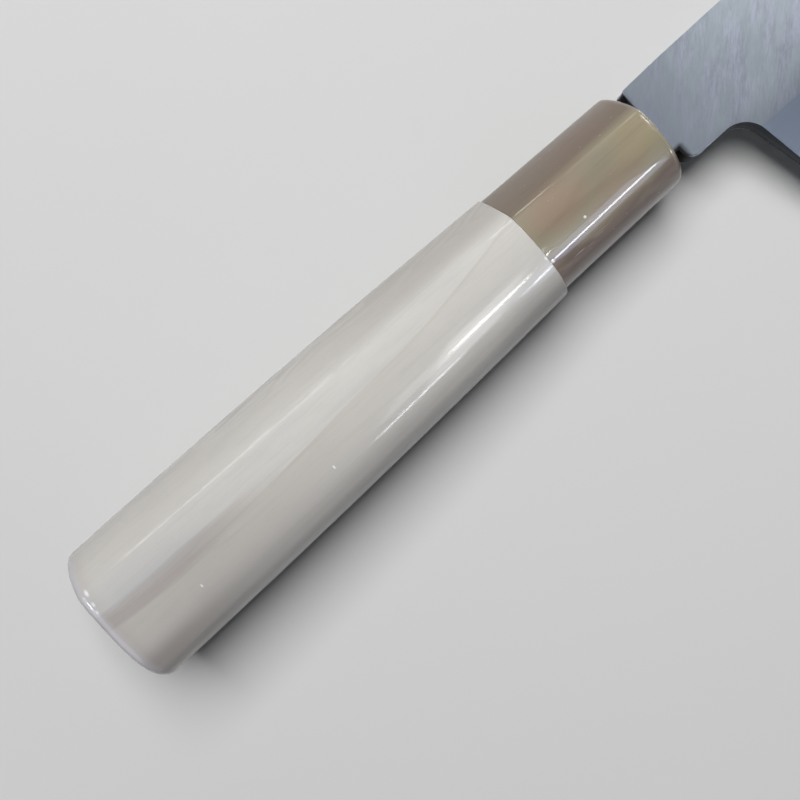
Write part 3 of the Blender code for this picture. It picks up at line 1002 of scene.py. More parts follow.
@dataclass(frozen=True)
class DSection:
    """One section of the handle: an oval with a facet planed from its crown to the ridge.

    Attributes:
        place: X of the section.
        height: Full size along Y.
        thickness: Full size along Z.
        ridge_rise: Y of the ridge.
        lift: How far the section's middle lies above the axis.
        fullness: 2 is an ellipse, more is squarer.
        facet_turn: Where the facet ends, measured round the section from its front.
        bulge: How convex the facet is.
        ridge_blend: How far from the ridge its softening starts.
    """

    place: float
    height: float
    thickness: float
    ridge_rise: float
    lift: float
    fullness: float
    facet_turn: float
    bulge: float
    ridge_blend: float

    OVAL_STEPS = 96
    FACET_STEPS = 16
    CORNER_STEPS = 9
    CROWN_BLEND = 0.0014

    def toward(self, other: "DSection", share: float) -> "DSection":
        """The section at a share of the way to another."""
        names = self.__dataclass_fields__
        return DSection(*(getattr(self, n) * (1 - share) + getattr(other, n) * share for n in names))

    def swollen(self, belly: float) -> "DSection":
        """The section with the belly added to its height, and as much of it to its thickness."""
        swell = 1 + belly / self.height
        return replace(self, height=self.height * swell, thickness=self.thickness * swell)

    def on_oval(self, turn: float, inset: float) -> Vector:
        """A point of the oval.

        Args:
            turn: Measured round the section from its front, towards the spine.
            inset: How far the oval is drawn in.

        Returns:
            The point, as Y and Z.
        """
        shrink = 1 - 2 * inset / self.height
        across, up = math.sin(turn), math.cos(turn)
        reach = (abs(across) ** self.fullness + abs(up) ** self.fullness) ** (-1 / self.fullness)
        return Vector(
            (self.height / 2 * shrink * reach * across, (self.thickness / 2 - inset) * reach * up)
        )

    def turn_for(self, turn: float, length: float, inset: float) -> float:
        """How much turn makes a given length of the oval.

        Args:
            turn: Where on the oval.
            length: The length.
            inset: How far the oval is drawn in.

        Returns:
            The turn in radians.
        """
        small = 0.001
        run = self.on_oval(turn + small, inset) - self.on_oval(turn - small, inset)
        return length * 2 * small / run.length

    def outline(self, inset: float) -> list[Vector]:
        """The section's points, once round.

        Args:
            inset: How far the section is drawn in, at a rounded end.

        Returns:
            The points in the knife's axes.
        """
        shrink = 1 - 2 * inset / self.height
        rise = 2 * self.ridge_rise / self.height
        ridge_turn = math.atan(rise / (1 - rise**self.fullness) ** (1 / self.fullness))
        crown_turn = self.facet_turn - 2 * math.pi
        ridge, crown = self.on_oval(ridge_turn, inset), self.on_oval(crown_turn, inset)
        facet = crown - ridge
        out = Vector((-facet.y, facet.x)).normalized()
        first = ridge_turn - self.turn_for(ridge_turn, self.ridge_blend, inset)
        last = crown_turn + self.turn_for(crown_turn, self.CROWN_BLEND, inset)
        shares = [i / self.OVAL_STEPS for i in range(self.OVAL_STEPS + 1)]
        oval = [self.on_oval(first + (last - first) * s, inset) for s in shares]
        near = self.ridge_blend / facet.length
        far = 1 - self.CROWN_BLEND / facet.length
        places = even(far, near - far, self.FACET_STEPS)
        planed = [ridge.lerp(crown, s) + 4 * self.bulge * shrink * s * (1 - s) * out for s in places]
        points = oval + self.softened(crown, oval[-1], planed[0])
        points += planed + self.softened(ridge, planed[-1], oval[0])
        return [Vector((self.place, p.x + self.lift, p.y)) for p in points]

    def softened(self, corner: Vector, before: Vector, after: Vector) -> list[Vector]:
        """Points that round a corner off, without the points before and after it."""
        shares = [i / self.CORNER_STEPS for i in range(1, self.CORNER_STEPS)]
        return [before.lerp(corner, s).lerp(corner.lerp(after, s), s) for s in shares]


@dataclass(frozen=True)
class TangSlot:
    """The slot burnt into the wood for the tang.

    Attributes:
        tail_x: X of its rear end.
        root_x: X of its mouth.
        tail: Low Y, high Y and half thickness at its rear end.
        root: Low Y, high Y and half thickness at its mouth.
        char_depth: How far the wood round it is burnt.
        char_full: How far off the walls it is still fully burnt.
        char_start: Where along the knife the char starts and where it is full.
    """

    tail_x: float
    root_x: float
    tail: Triple
    root: Triple
    char_depth: float = 0.0007
    char_full: float = 0.00005
    char_start: Pair = (0.1, 0.104)

    def cutter(self) -> Piece:
        """Models the slot as a solid.

        Returns:
            A tapered block, a little longer than the slot at its mouth.
        """
        bpy.ops.mesh.primitive_cube_add(size=2)
        block = Bench.fresh("tang_slot")
        with Bench.editing(block) as shape:
            for vert in shape.verts:
                x, (low, high, half) = (
                    (self.root_x, self.root) if vert.co.x > 0 else (self.tail_x, self.tail)
                )
                vert.co = Vector((x, high if vert.co.y > 0 else low, math.copysign(half, vert.co.z)))
        return block

    def char(self, graph: Graph) -> Socket:
        """How burnt the wood is: fully on the slot's walls, fading just outside them.

        Args:
            graph: The wood's nodes.

        Returns:
            A share from 0 to 1.
        """
        low, high, half = self.root
        off_y = graph.math("ABSOLUTE", graph.sum(graph.y, -(low + high) / 2))
        off_z = graph.math("ABSOLUTE", graph.z)
        off = graph.most(graph.sum(off_y, -(high - low) / 2), graph.sum(off_z, -half))
        burnt = graph.spread(off, self.char_depth, self.char_full)
        return graph.product(burnt, graph.spread(graph.x, *self.char_start))


@dataclass
class WaHandle:
    """The magnolia handle and its horn ferrule."""

    axes: KnifeAxes
    length: float = 0.1350
    ferrule_length: float = 0.0309
    belly: float = 0.0010
    butt_round: float = 0.0020
    shoulder_round: float = 0.0003
    ferrule_rear_round: float = 0.00008
    ferrule_round: float = 0.0015
    tenon_height: float = 0.0160
    tenon_thickness: float = 0.0118
    tenon_shy: float = 0.0002
    joint_gap: float = 0.00004
    round_steps: int = 8
    belly_steps: int = 26
    bar_sides: int = 96
    corner_angle: float = math.radians(30)

    @property
    def wood_length(self) -> float:
        """Length of the wood that shows behind the ferrule."""
        return self.length - self.ferrule_length

    def sections(self) -> dict[str, DSection]:
        """The sections that the handle is lofted between.

        Returns:
            The butt, the wood's shoulder, and the ferrule's rear and front end, by name.
        """
        butt = DSection(
            place=0.0,
            height=0.0298,
            thickness=0.0228,
            ridge_rise=0.00705,
            lift=-0.00015,
            fullness=2.9,
            facet_turn=math.radians(78),
            bulge=0.0009,
            ridge_blend=0.0010,
        )
        shoulder = DSection(
            place=self.wood_length,
            height=0.0248,
            thickness=0.0196,
            ridge_rise=0.0052,
            lift=0.0,
            fullness=2.2,
            facet_turn=math.radians(95),
            bulge=0.0003,
            ridge_blend=0.0012,
        )
        rear = replace(
            shoulder,
            place=self.wood_length + self.joint_gap,
            height=0.0235,
            thickness=0.0188,
            ridge_rise=0.0050,
            lift=0.0003,
            ridge_blend=0.0008,
        )
        front = replace(
            rear,
            place=self.length,
            height=0.0221,
            thickness=0.0181,
            ridge_rise=0.0040,
            lift=0.0,
            bulge=0.0008,
            ridge_blend=0.0011,
        )
        return {"butt": butt, "shoulder": shoulder, "rear": rear, "front": front}

    def slot(self) -> TangSlot:
        """The slot, a hair wider than the tang."""
        return TangSlot(
            tail_x=0.0389,
            root_x=0.1369,
            tail=(-0.0032, 0.0034, 0.0015),
            root=(-0.0065, 0.0069, 0.0021),
        )

    def stations(self, length: float, rear: float, front: float, steps: int) -> list[Pair]:
        """Where the sections stand along a piece, and how far each is drawn in.

        Args:
            length: The piece's length.
            rear: Radius that rounds its rear end.
            front: Radius that rounds its front end.
            steps: How many parts its straight run has.

        Returns:
            Pairs of a place along the piece and an inset.
        """
        turns = even(0.0, QUARTER, self.round_steps)
        first = [(rear * (1 - math.cos(t)), rear * (1 - math.sin(t))) for t in turns]
        last = [(length - front * (1 - math.sin(t)), front * (1 - math.cos(t))) for t in turns]
        straight = even(rear, length - rear - front, steps)[1:-1]
        return first + [(place, 0.0) for place in straight] + last

    def body(
        self, name: str, rear: DSection, front: DSection, rounds: Pair, belly: float
    ) -> Piece:
        """Models a D body: a cylinder with rings cut along it, each drawn to its section.

        Args:
            name: The piece's name.
            rear: The section at its rear end.
            front: The section at its front end.
            rounds: The radii that round the rear and the front end.
            belly: How much higher it is halfway along than its ends make it.

        Returns:
            The closed body in the knife's axes.
        """
        length = front.place - rear.place
        rings = []
        for along, inset in self.stations(length, *rounds, self.belly_steps):
            share = along / length
            section = rear.toward(front, share).swollen(4 * belly * share * (1 - share))
            rings.append(section.outline(inset))
        count = len(rings[0])
        bpy.ops.mesh.primitive_cylinder_add(
            vertices=count, radius=1, depth=2, end_fill_type="NGON", rotation=(0, QUARTER, 0)
        )
        piece = Bench.fresh(name)
        with Bench.editing(piece) as shape:
            bpy.ops.mesh.select_mode(type="EDGE")
            bpy.ops.mesh.select_all(action="DESELECT")
            for edge in shape.edges:
                edge.select_set(abs(edge.verts[0].co.x - edge.verts[1].co.x) > 1)
            bmesh.update_edit_mesh(piece.data)
            bpy.ops.mesh.subdivide(number_cuts=len(rings) - 2)
            bpy.ops.mesh.select_mode(type="VERT")
        with Bench.editing(piece) as shape:
            shape.verts.ensure_lookup_table()
            start = math.atan2(shape.verts[0].co.z, shape.verts[0].co.y)
            for vert in shape.verts:
                ring = round((vert.co.x + 1) / 2 * (len(rings) - 1))
                turn = math.atan2(vert.co.z, vert.co.y) - start
                vert.co = rings[ring][round(turn / (2 * math.pi) * count) % count]
            bpy.ops.mesh.normals_make_consistent(inside=False)
        return piece

    def oval(self, name: str, start: float, end: float, spare: float) -> Piece:
        """Models the oval bar of the tenon or of its bore.

        Args:
            name: The object's name.
            start: X of its rear end.
            end: X of its front end.
            spare: How much wider it is than the tenon, all round.

        Returns:
            The closed bar.
        """
        bpy.ops.mesh.primitive_cylinder_add(
            vertices=self.bar_sides,
            radius=1,
            depth=end - start,
            rotation=(0, QUARTER, 0),
            location=((start + end) / 2, 0, 0),
        )
        bar = Bench.fresh(name)
        with Bench.editing(bar):
            size = (1, self.tenon_height / 2 + spare, self.tenon_thickness / 2 + spare)
            bpy.ops.transform.resize(value=size, center_override=(0, 0, 0))
        return bar

    def make_wood(self, finish: MagnoliaFinish) -> Piece:
        """Models the wood with its tenon and its slot.

        Args:
            finish: The wood's finish.

        Returns:
            The dressed piece.
        """
        ends = self.sections()
        rounds = (self.butt_round, self.shoulder_round)
        wood = self.body("magnolia_wood_handle", ends["butt"], ends["shoulder"], rounds, self.belly)
        tenon = self.oval("tenon", self.wood_length / 2, self.length - self.tenon_shy, 0.0)
        Bench.carve(wood, tenon, Cut.JOIN)
        slot = self.slot()
        Bench.carve(wood, slot.cutter(), Cut.TAKE_OUT)
        return Bench.finish(wood, self.axes, self.corner_angle, finish.material(self.axes, slot))

    def make_ferrule(self, finish: HornFinish) -> Piece:
        """Models the horn ring, bored for the tenon.

        Args:
            finish: The horn's finish.

        Returns:
            The dressed piece.
        """
        ends = self.sections()
        rounds = (self.ferrule_rear_round, self.ferrule_round)
        ring = self.body("buffalo_horn_ferrule", ends["rear"], ends["front"], rounds, 0.0)
        over = self.ferrule_length / 4
        bore = self.oval("bore", self.wood_length - over, self.length + over, self.joint_gap)
        Bench.carve(ring, bore, Cut.TAKE_OUT)
        return Bench.finish(ring, self.axes, self.corner_angle, finish.material(self.axes))


@dataclass
class UsubaBlade:
    """The blade with its neck and tang, in two layers: soft cladding and edge steel."""

    axes: KnifeAxes
    shoulder_x: float = 0.1369
    lower_shoulder_step: float = 0.0010
    tang_length: float = 0.0950
    tang_root: Pair = (-0.0063, 0.0067)
    tang_tail: Pair = (-0.0030, 0.0030)
    tang_tail_thickness: float = 0.0026
    tang_tail_chamfer: float = 0.0020
    neck_length: float = 0.0099
    neck_height: float = 0.01865
    spine_rise: float = 0.0091
    spine_fall: float = 0.0002
    spine_corner_round: float = 0.0009
    neck_corner_round: float = 0.0024
    choil_radius: float = 0.0061
    blade_length: float = 0.1950
    blade_height: float = 0.0461
    thickness: float = 0.0040
    tip_thickness: float = 0.0022
    edge_thickness: float = 0.00003
    heel_lean: float = math.radians(12.5)
    sickle_length: float = 0.0500
    sickle_spine_handle: float = 0.0260
    sickle_tip_handle: float = 0.0266
    sickle_tip_lean: float = math.radians(20)
    bevel_width_heel: float = 0.0230
    bevel_width_tip: float = 0.0200
    shinogi_blend: float = 0.0055
    shinogi_share: float = 0.45
    steel_share: float = 0.36
    steel_start: float = 0.0020
    weld_gap: float = 0.00001
    hollow_depth: float = 0.00035
    hollow_fade: float = 0.0300
    rim_edge: float = 0.0015
    rim_spine: float = 0.0025
    rim_heel: float = 0.0050
    rim_round: float = 0.00060
    rim_fall: float = 0.00010
    choil_fall: float = 0.000025
    neck_round: float = 0.0014
    neck_fall: float = 0.00016
    neck_round_length: float = 0.0095
    neck_round_top: float = -0.001
    neck_round_height: float = 0.0065
    spine_blend: float = 0.004
    rim_power: float = 1.6
    rim_rings: Triple = (0.00008, 0.00012, 0.00016)
    shinogi_cuts: tuple[float, ...] = (-0.06, 0.0, 0.06, 0.2, 0.4, 0.6, 0.8, 1.0)
    heel_reach: float = 0.002
    corner_reach: float = 0.0055
    arc_steps: int = 16
    sickle_steps: int = 48
    blade_steps: int = 58
    neck_steps: int = 46
    height_steps: int = 26
    corner_steps: int = 12
    corner_angle: float = math.radians(38)

    def __post_init__(self) -> None:
        """Works out the places that follow from the sizes."""
        self.half = self.thickness / 2
        self.neck_bottom = self.spine_rise - self.neck_height
        self.edge_y = self.spine_rise - self.blade_height
        self.choil_x = self.shoulder_x + self.neck_length
        self.choil_y = self.neck_bottom - self.choil_radius
        heel_top_x = self.choil_x + self.choil_radius * math.cos(self.heel_lean)
        heel_top_y = self.choil_y + self.choil_radius * math.sin(self.heel_lean)
        self.heel_x = heel_top_x + (heel_top_y - self.edge_y) * math.tan(self.heel_lean)
        self.tip_x = self.heel_x + self.blade_length
        self.steel_x = self.choil_x + self.steel_start
        self.rim = self.rim_line()

    def arc(self, centre: Pair, radius: float, start: float, end: float) -> list[Vector]:
        """Points along an arc in the plane of the blade."""
        angles = even(start, end - start, self.arc_steps)
        return [Vector(centre) + radius * Vector((math.cos(a), math.sin(a))) for a in angles]

    def sickle(self) -> list[Vector]:
        """The curve that carries the spine down to the tip.

        Returns:
            Its points in the plane of the blade.
        """
        start = Vector((self.tip_x - self.sickle_length, self.spine_rise))
        end = Vector((self.tip_x, self.edge_y))
        lean = Vector((-math.sin(self.sickle_tip_lean), math.cos(self.sickle_tip_lean)))
        near = start + Vector((self.sickle_spine_handle, 0))
        return interpolate_bezier(start, near, end + self.sickle_tip_handle * lean, end, self.sickle_steps)

    def rim_line(self) -> list[Vector]:
        """The outline from the tang's upper corner round to the tip, and from the heel back to the tang.

        Returns:
            The points of the outline in order, with the cutting edge between the tip and the heel.
        """
        corner = self.spine_corner_round
        upper = [Vector((self.shoulder_x, self.tang_root[1]))]
        top = (self.shoulder_x + corner, self.spine_rise - self.spine_fall - corner)
        upper += self.arc(top, corner, 2 * QUARTER, QUARTER)
        upper += [Vector((self.choil_x, self.spine_rise))]
        upper += self.sickle()
        lower = [Vector((self.heel_x, self.edge_y))]
        lower += self.arc((self.choil_x, self.choil_y), self.choil_radius, self.heel_lean, QUARTER)
        rear_x = self.shoulder_x + self.lower_shoulder_step
        corner = self.neck_corner_round
        lower += self.arc((rear_x + corner, self.neck_bottom + corner), corner, 3 * QUARTER, 2 * QUARTER)
        lower += [Vector((rear_x, self.tang_root[0]))]
        self.upper_count = len(upper)
        return upper + lower

    def outline(self) -> list[Vector]:
        """The whole outline, the tang with its chamfered tail included.

        Returns:
            The points in order.
        """
        tail_x = self.shoulder_x - self.tang_length
        chamfer = self.tang_tail_chamfer
        low, high = self.tang_tail
        tail = [(tail_x + chamfer, low), (tail_x, low + chamfer)]
        tail += [(tail_x, high - chamfer), (tail_x + chamfer, high)]
        return [Vector(p) for p in tail] + self.rim

    def spine_at(self, x: float) -> float:
        """Y of the blade's upper outline.

        Args:
            x: Place along the knife.

        Returns:
            The height of the spine or of the sickle curve there.
        """
        points = self.sickle()
        if x <= points[0].x:
            return self.spine_rise
        for near, far in zip(points, points[1:]):
            if x <= far.x:
                return near.y + (far.y - near.y) * (x - near.x) / (far.x - near.x)
        return self.edge_y

    def bevel_rule(self) -> Pair:
        """The shinogi as a straight line: its slope, and its Y at X = 0."""
        slope = (self.bevel_width_tip - self.bevel_width_heel) / self.blade_length
        return slope, self.edge_y + self.bevel_width_heel - slope * self.heel_x

    def shinogi(self, x: float) -> float:
        """Y of the shinogi at a place along the blade."""
        slope, start = self.bevel_rule()
        return start + slope * x

    def thickness_at(self, x: float) -> float:
        """Thickness at the spine: full at the neck, thinner to the tip and to the tang's tail.

        Args:
            x: Place along the knife.

        Returns:
            The thickness.
        """
        if x < self.shoulder_x:
            share = (self.shoulder_x - x) / self.tang_length
            return self.thickness + (self.tang_tail_thickness - self.thickness) * share
        share = max(0.0, (x - self.choil_x) / (self.tip_x - self.choil_x))
        return self.thickness + (self.tip_thickness - self.thickness) * share

    def weld_height(self) -> float:
        """Z of the weld at the neck."""
        return self.steel_share * self.thickness - self.half

    def weld_slope(self) -> float:
        """How the weld falls towards the tip, as the blade grows thinner."""
        return (self.tip_thickness - self.thickness) / (self.tip_x - self.choil_x) * self.steel_share

    def rim_distance(self, x: float, y: float) -> float:
        """Distance to the outline of the neck and the blade, the cutting edge left out.

        Args:
            x: Place along the knife.
            y: Place towards the spine.

        Returns:
            The distance in the plane of the blade.
        """
        here = Vector((x, y))
        nearest = self.blade_length
        for i, (a, b) in enumerate(zip(self.rim, self.rim[1:])):
            if i == self.upper_count - 1:
                continue
            run = b - a
            share = held((here - a).dot(run) / max(run.length_squared, 1e-12))
            nearest = min(nearest, (here - a - run * share).length)
        return nearest

    def front_height(self, x: float, y: float) -> float:
        """Z of the bevelled side, with its rims rounded over.

        Args:
            x: Place along the knife.
            y: Place towards the spine.

        Returns:
            The height in the knife's axes.
        """
        if x < self.shoulder_x - 1e-6:
            return self.thickness_at(x) / 2
        flat = self.thickness_at(x) - self.half
        turn = self.shinogi(x)
        low = self.edge_thickness - self.half
        steep = (flat - low) / (turn - self.edge_y)
        height = flat
        if x >= self.choil_x:
            early = turn + self.shinogi_blend
            if y < early:
                into = held((early - y) / self.shinogi_blend)
                height = flat - self.shinogi_share * steep * self.shinogi_blend * into**2 / 2
            if y < turn:
                knee = height
                height = knee + (low - knee) * (turn - y) / (turn - self.edge_y)
        return max(low, height - self.rim_drop(x, y, height - low))

    def rim_drop(self, x: float, y: float, room: float) -> float:
        """How far the face falls off at its rim: a hair everywhere, more at the neck's lower corner.

        Args:
            x: Place along the knife.
            y: Place towards the spine.
            room: How much thickness there is to fall.

        Returns:
            The fall.
        """
        near_corner = held(1 - (x - self.shoulder_x) / self.neck_round_length)
        near_corner *= held((self.neck_round_top - y) / self.neck_round_height)
        reach = self.rim_round + (self.neck_round - self.rim_round) * near_corner
        spineward = held(y / self.spine_blend)
        fall = self.choil_fall + (self.rim_fall - self.choil_fall) * spineward
        fall += (self.neck_fall - fall) * near_corner
        distance = self.rim_distance(x, y)
        if distance >= reach:
            return 0.0
        fall *= held(1 + (y - self.shinogi(x)) / self.rim_spine)
        return min(fall, room / 2) * (1 - distance / reach) ** self.rim_power

    def back_height(self, x: float, y: float) -> float:
        """Z of the back: flat rims with one wide, shallow hollow between them.

        Args:
            x: Place along the knife.
            y: Place towards the spine.

        Returns:
            The height in the knife's axes.
        """
        if x < self.shoulder_x:
            return -self.thickness_at(x) / 2
        low = self.edge_y + self.rim_edge
        high = self.spine_at(x) - self.rim_spine
        full = self.spine_rise - self.rim_spine - low
        start = self.heel_x + self.rim_heel
        if high <= low or x <= start or not low < y < high:
            return -self.half
        fade = math.sin(held((x - start) / self.hollow_fade) * QUARTER)
        across = (y - low) / (high - low)
        chord = (high - low) / full
        return -self.half + self.hollow_depth * chord**2 * fade * 4 * across * (1 - across)

    def cut_places(self) -> tuple[list[float], list[float]]:
        """Where the sheet is cut across and along, so that its faces can take their shape.

        Returns:
            The places of the cuts along X, and along Y.
        """
        cuts_x = [self.choil_x, self.heel_x + self.rim_heel]
        cuts_x += even(self.heel_x, self.blade_length, self.blade_steps)[1:-1]
        neck_reach = self.heel_x + self.heel_reach - self.shoulder_x
        cuts_x += even(self.shoulder_x, neck_reach, self.neck_steps)[:-1]
        low, high = self.edge_y + self.rim_edge, self.spine_rise - self.rim_spine
        cuts_y = even(low, high - low, self.height_steps)
        steps = self.corner_steps
        cuts_y += [self.neck_bottom + self.corner_reach * (i + 0.5) / steps for i in range(steps)]
        return sorted(cuts_x), sorted(cuts_y)

    def sheet(self, name: str) -> Piece:
        """Models the blade's outline as a flat sheet with rings along its rim and a grid of cuts.

        Args:
            name: The object's name.

        Returns:
            The sheet.
        """
        outline = self.outline()
        bpy.ops.mesh.primitive_circle_add(vertices=len(outline), radius=1, fill_type="NGON")
        piece = Bench.fresh(name)
        with Bench.editing(piece) as shape:
            shape.verts.ensure_lookup_table()
            for vert, point in zip(shape.verts, outline):
                vert.co = (point.x, point.y, 0)
            bmesh.update_edit_mesh(piece.data)
            for width in self.rim_rings:
                bpy.ops.mesh.inset(thickness=width, use_even_offset=True)
            cuts_x, cuts_y = self.cut_places()
            for x in cuts_x:
                self.cut((x, 0, 0), (1, 0, 0))
            for y in cuts_y:
                self.cut((0, y, 0), (0, 1, 0))
            run = Vector((1, self.bevel_rule()[0], 0))
            for rise in self.shinogi_cuts:
                at = (self.heel_x, self.shinogi(self.heel_x) + rise * self.shinogi_blend, 0)
                self.cut(at, run.cross(Vector((0, 0, 1))))
        return piece

    @staticmethod
    def cut(point: Triple, normal: Triple | Vector) -> None:
        """Cuts everything along a plane and keeps both sides."""
        bpy.ops.mesh.select_all(action="SELECT")
        bpy.ops.mesh.bisect(plane_co=point, plane_no=normal, threshold=1e-6)

    def plate(self, name: str) -> Piece:
        """Models the whole blade: the sheet made solid and drawn to its two faces.

        Args:
            name: The object's name.

        Returns:
            The closed blade with its tang.
        """
        piece = self.sheet(name)
        with Bench.editing(piece):
            bpy.ops.mesh.extrude_region_move(TRANSFORM_OT_translate={"value": (0, 0, 1)})
        with Bench.editing(piece) as shape:
            for vert in shape.verts:
                height = self.front_height if vert.co.z > 0.5 else self.back_height
                vert.co.z = height(vert.co.x, vert.co.y)
            bmesh.update_edit_mesh(piece.data)
            bpy.ops.mesh.normals_make_consistent(inside=False)
        return piece

    def steel_space(self, gap: float) -> Piece:
        """Models the space of the edge steel: all that lies behind the weld, from the neck on.

        Args:
            gap: How far the space is widened, for the cladding's cut.

        Returns:
            The closed block.
        """
        clear = self.thickness
        slope = self.weld_slope()
        bpy.ops.mesh.primitive_cube_add(size=2)
        block = Bench.fresh("steel_space")
        with Bench.editing(block) as shape:
            for vert in shape.verts:
                x = self.tip_x + clear if vert.co.x > 0 else self.steel_x - gap
                y = self.spine_rise + clear if vert.co.y > 0 else self.edge_y - clear
                weld = self.weld_height() + slope * (x - self.choil_x) + gap
                vert.co = Vector((x, y, weld if vert.co.z > 0 else -self.half - clear))
        return block

    def finished(self, layer: Piece, finish: SteelFinish) -> Piece:
        """The layer, shaded, placed and dressed."""
        return Bench.finish(layer, self.axes, self.corner_angle, finish.material(self.axes, self))

    def make_layers(self, iron: SteelFinish, steel: SteelFinish) -> tuple[Piece, Piece]:
        """Models both layers from one plate.

        Args:
            iron: The cladding's finish.
            steel: The edge steel's finish.

        Returns:
            The cladding and the edge steel.
        """
        cladding = self.plate("soft_iron_cladding")
        core = cladding.copy()
        core.data = cladding.data.copy()
        core.name = core.data.name = "edge_steel_layer"
        bpy.context.scene.collection.objects.link(core)
        Bench.carve(cladding, self.steel_space(self.weld_gap), Cut.TAKE_OUT)
        Bench.carve(core, self.steel_space(0.0), Cut.KEEP_COMMON)
        return self.finished(cladding, iron), self.finished(core, steel)


class LampUse(Enum):
    """What a lamp is there for."""

    LIGHT = "light"
    GLOSS = "gloss"


@dataclass(frozen=True)
class Lamp:
    """One soft lamp, placed in the knife's axes.

    Attributes:
        name: The lamp's name.
        start: The middle of one end of its face.
        end: The middle of the other end.
        width: How wide its face is.
        level: How bright its face is, where a lit white card is 1.
        target: The point it faces.
        colour: The colour of its light.
        use: Whether it lights the surfaces or is there to be mirrored in them.
    """

    name: str
    start: Triple
    end: Triple
    width: float
    level: float
    target: Triple
    colour: Colour = (1.0, 1.0, 1.0)
    use: LampUse = LampUse.GLOSS

    def hang(self, axes: KnifeAxes) -> None:
        """Hangs the lamp and turns its face to the knife.

        Args:
            axes: The knife's axes.
        """
        start, end, target = (axes.point(*p) for p in (self.start, self.end, self.target))
        place = (start + end) / 2
        across = (end - start).normalized()
        back = place - target
        back = (back - across * back.dot(across)).normalized()
        light = bpy.data.lights.new(self.name, "AREA")
        light.shape = "RECTANGLE"
        light.size, light.size_y = (end - start).length, self.width
        light.energy = self.level * math.pi * light.size * light.size_y
        light.color = self.colour
        lamp = bpy.data.objects.new(self.name, light)
        bpy.context.scene.collection.objects.link(lamp)
        lamp.matrix_world = posed(place, across, back.cross(across), back)
        lamp.visible_camera = False
        lamp.visible_glossy = self.use is LampUse.GLOSS
        lamp.visible_diffuse = self.use is LampUse.LIGHT


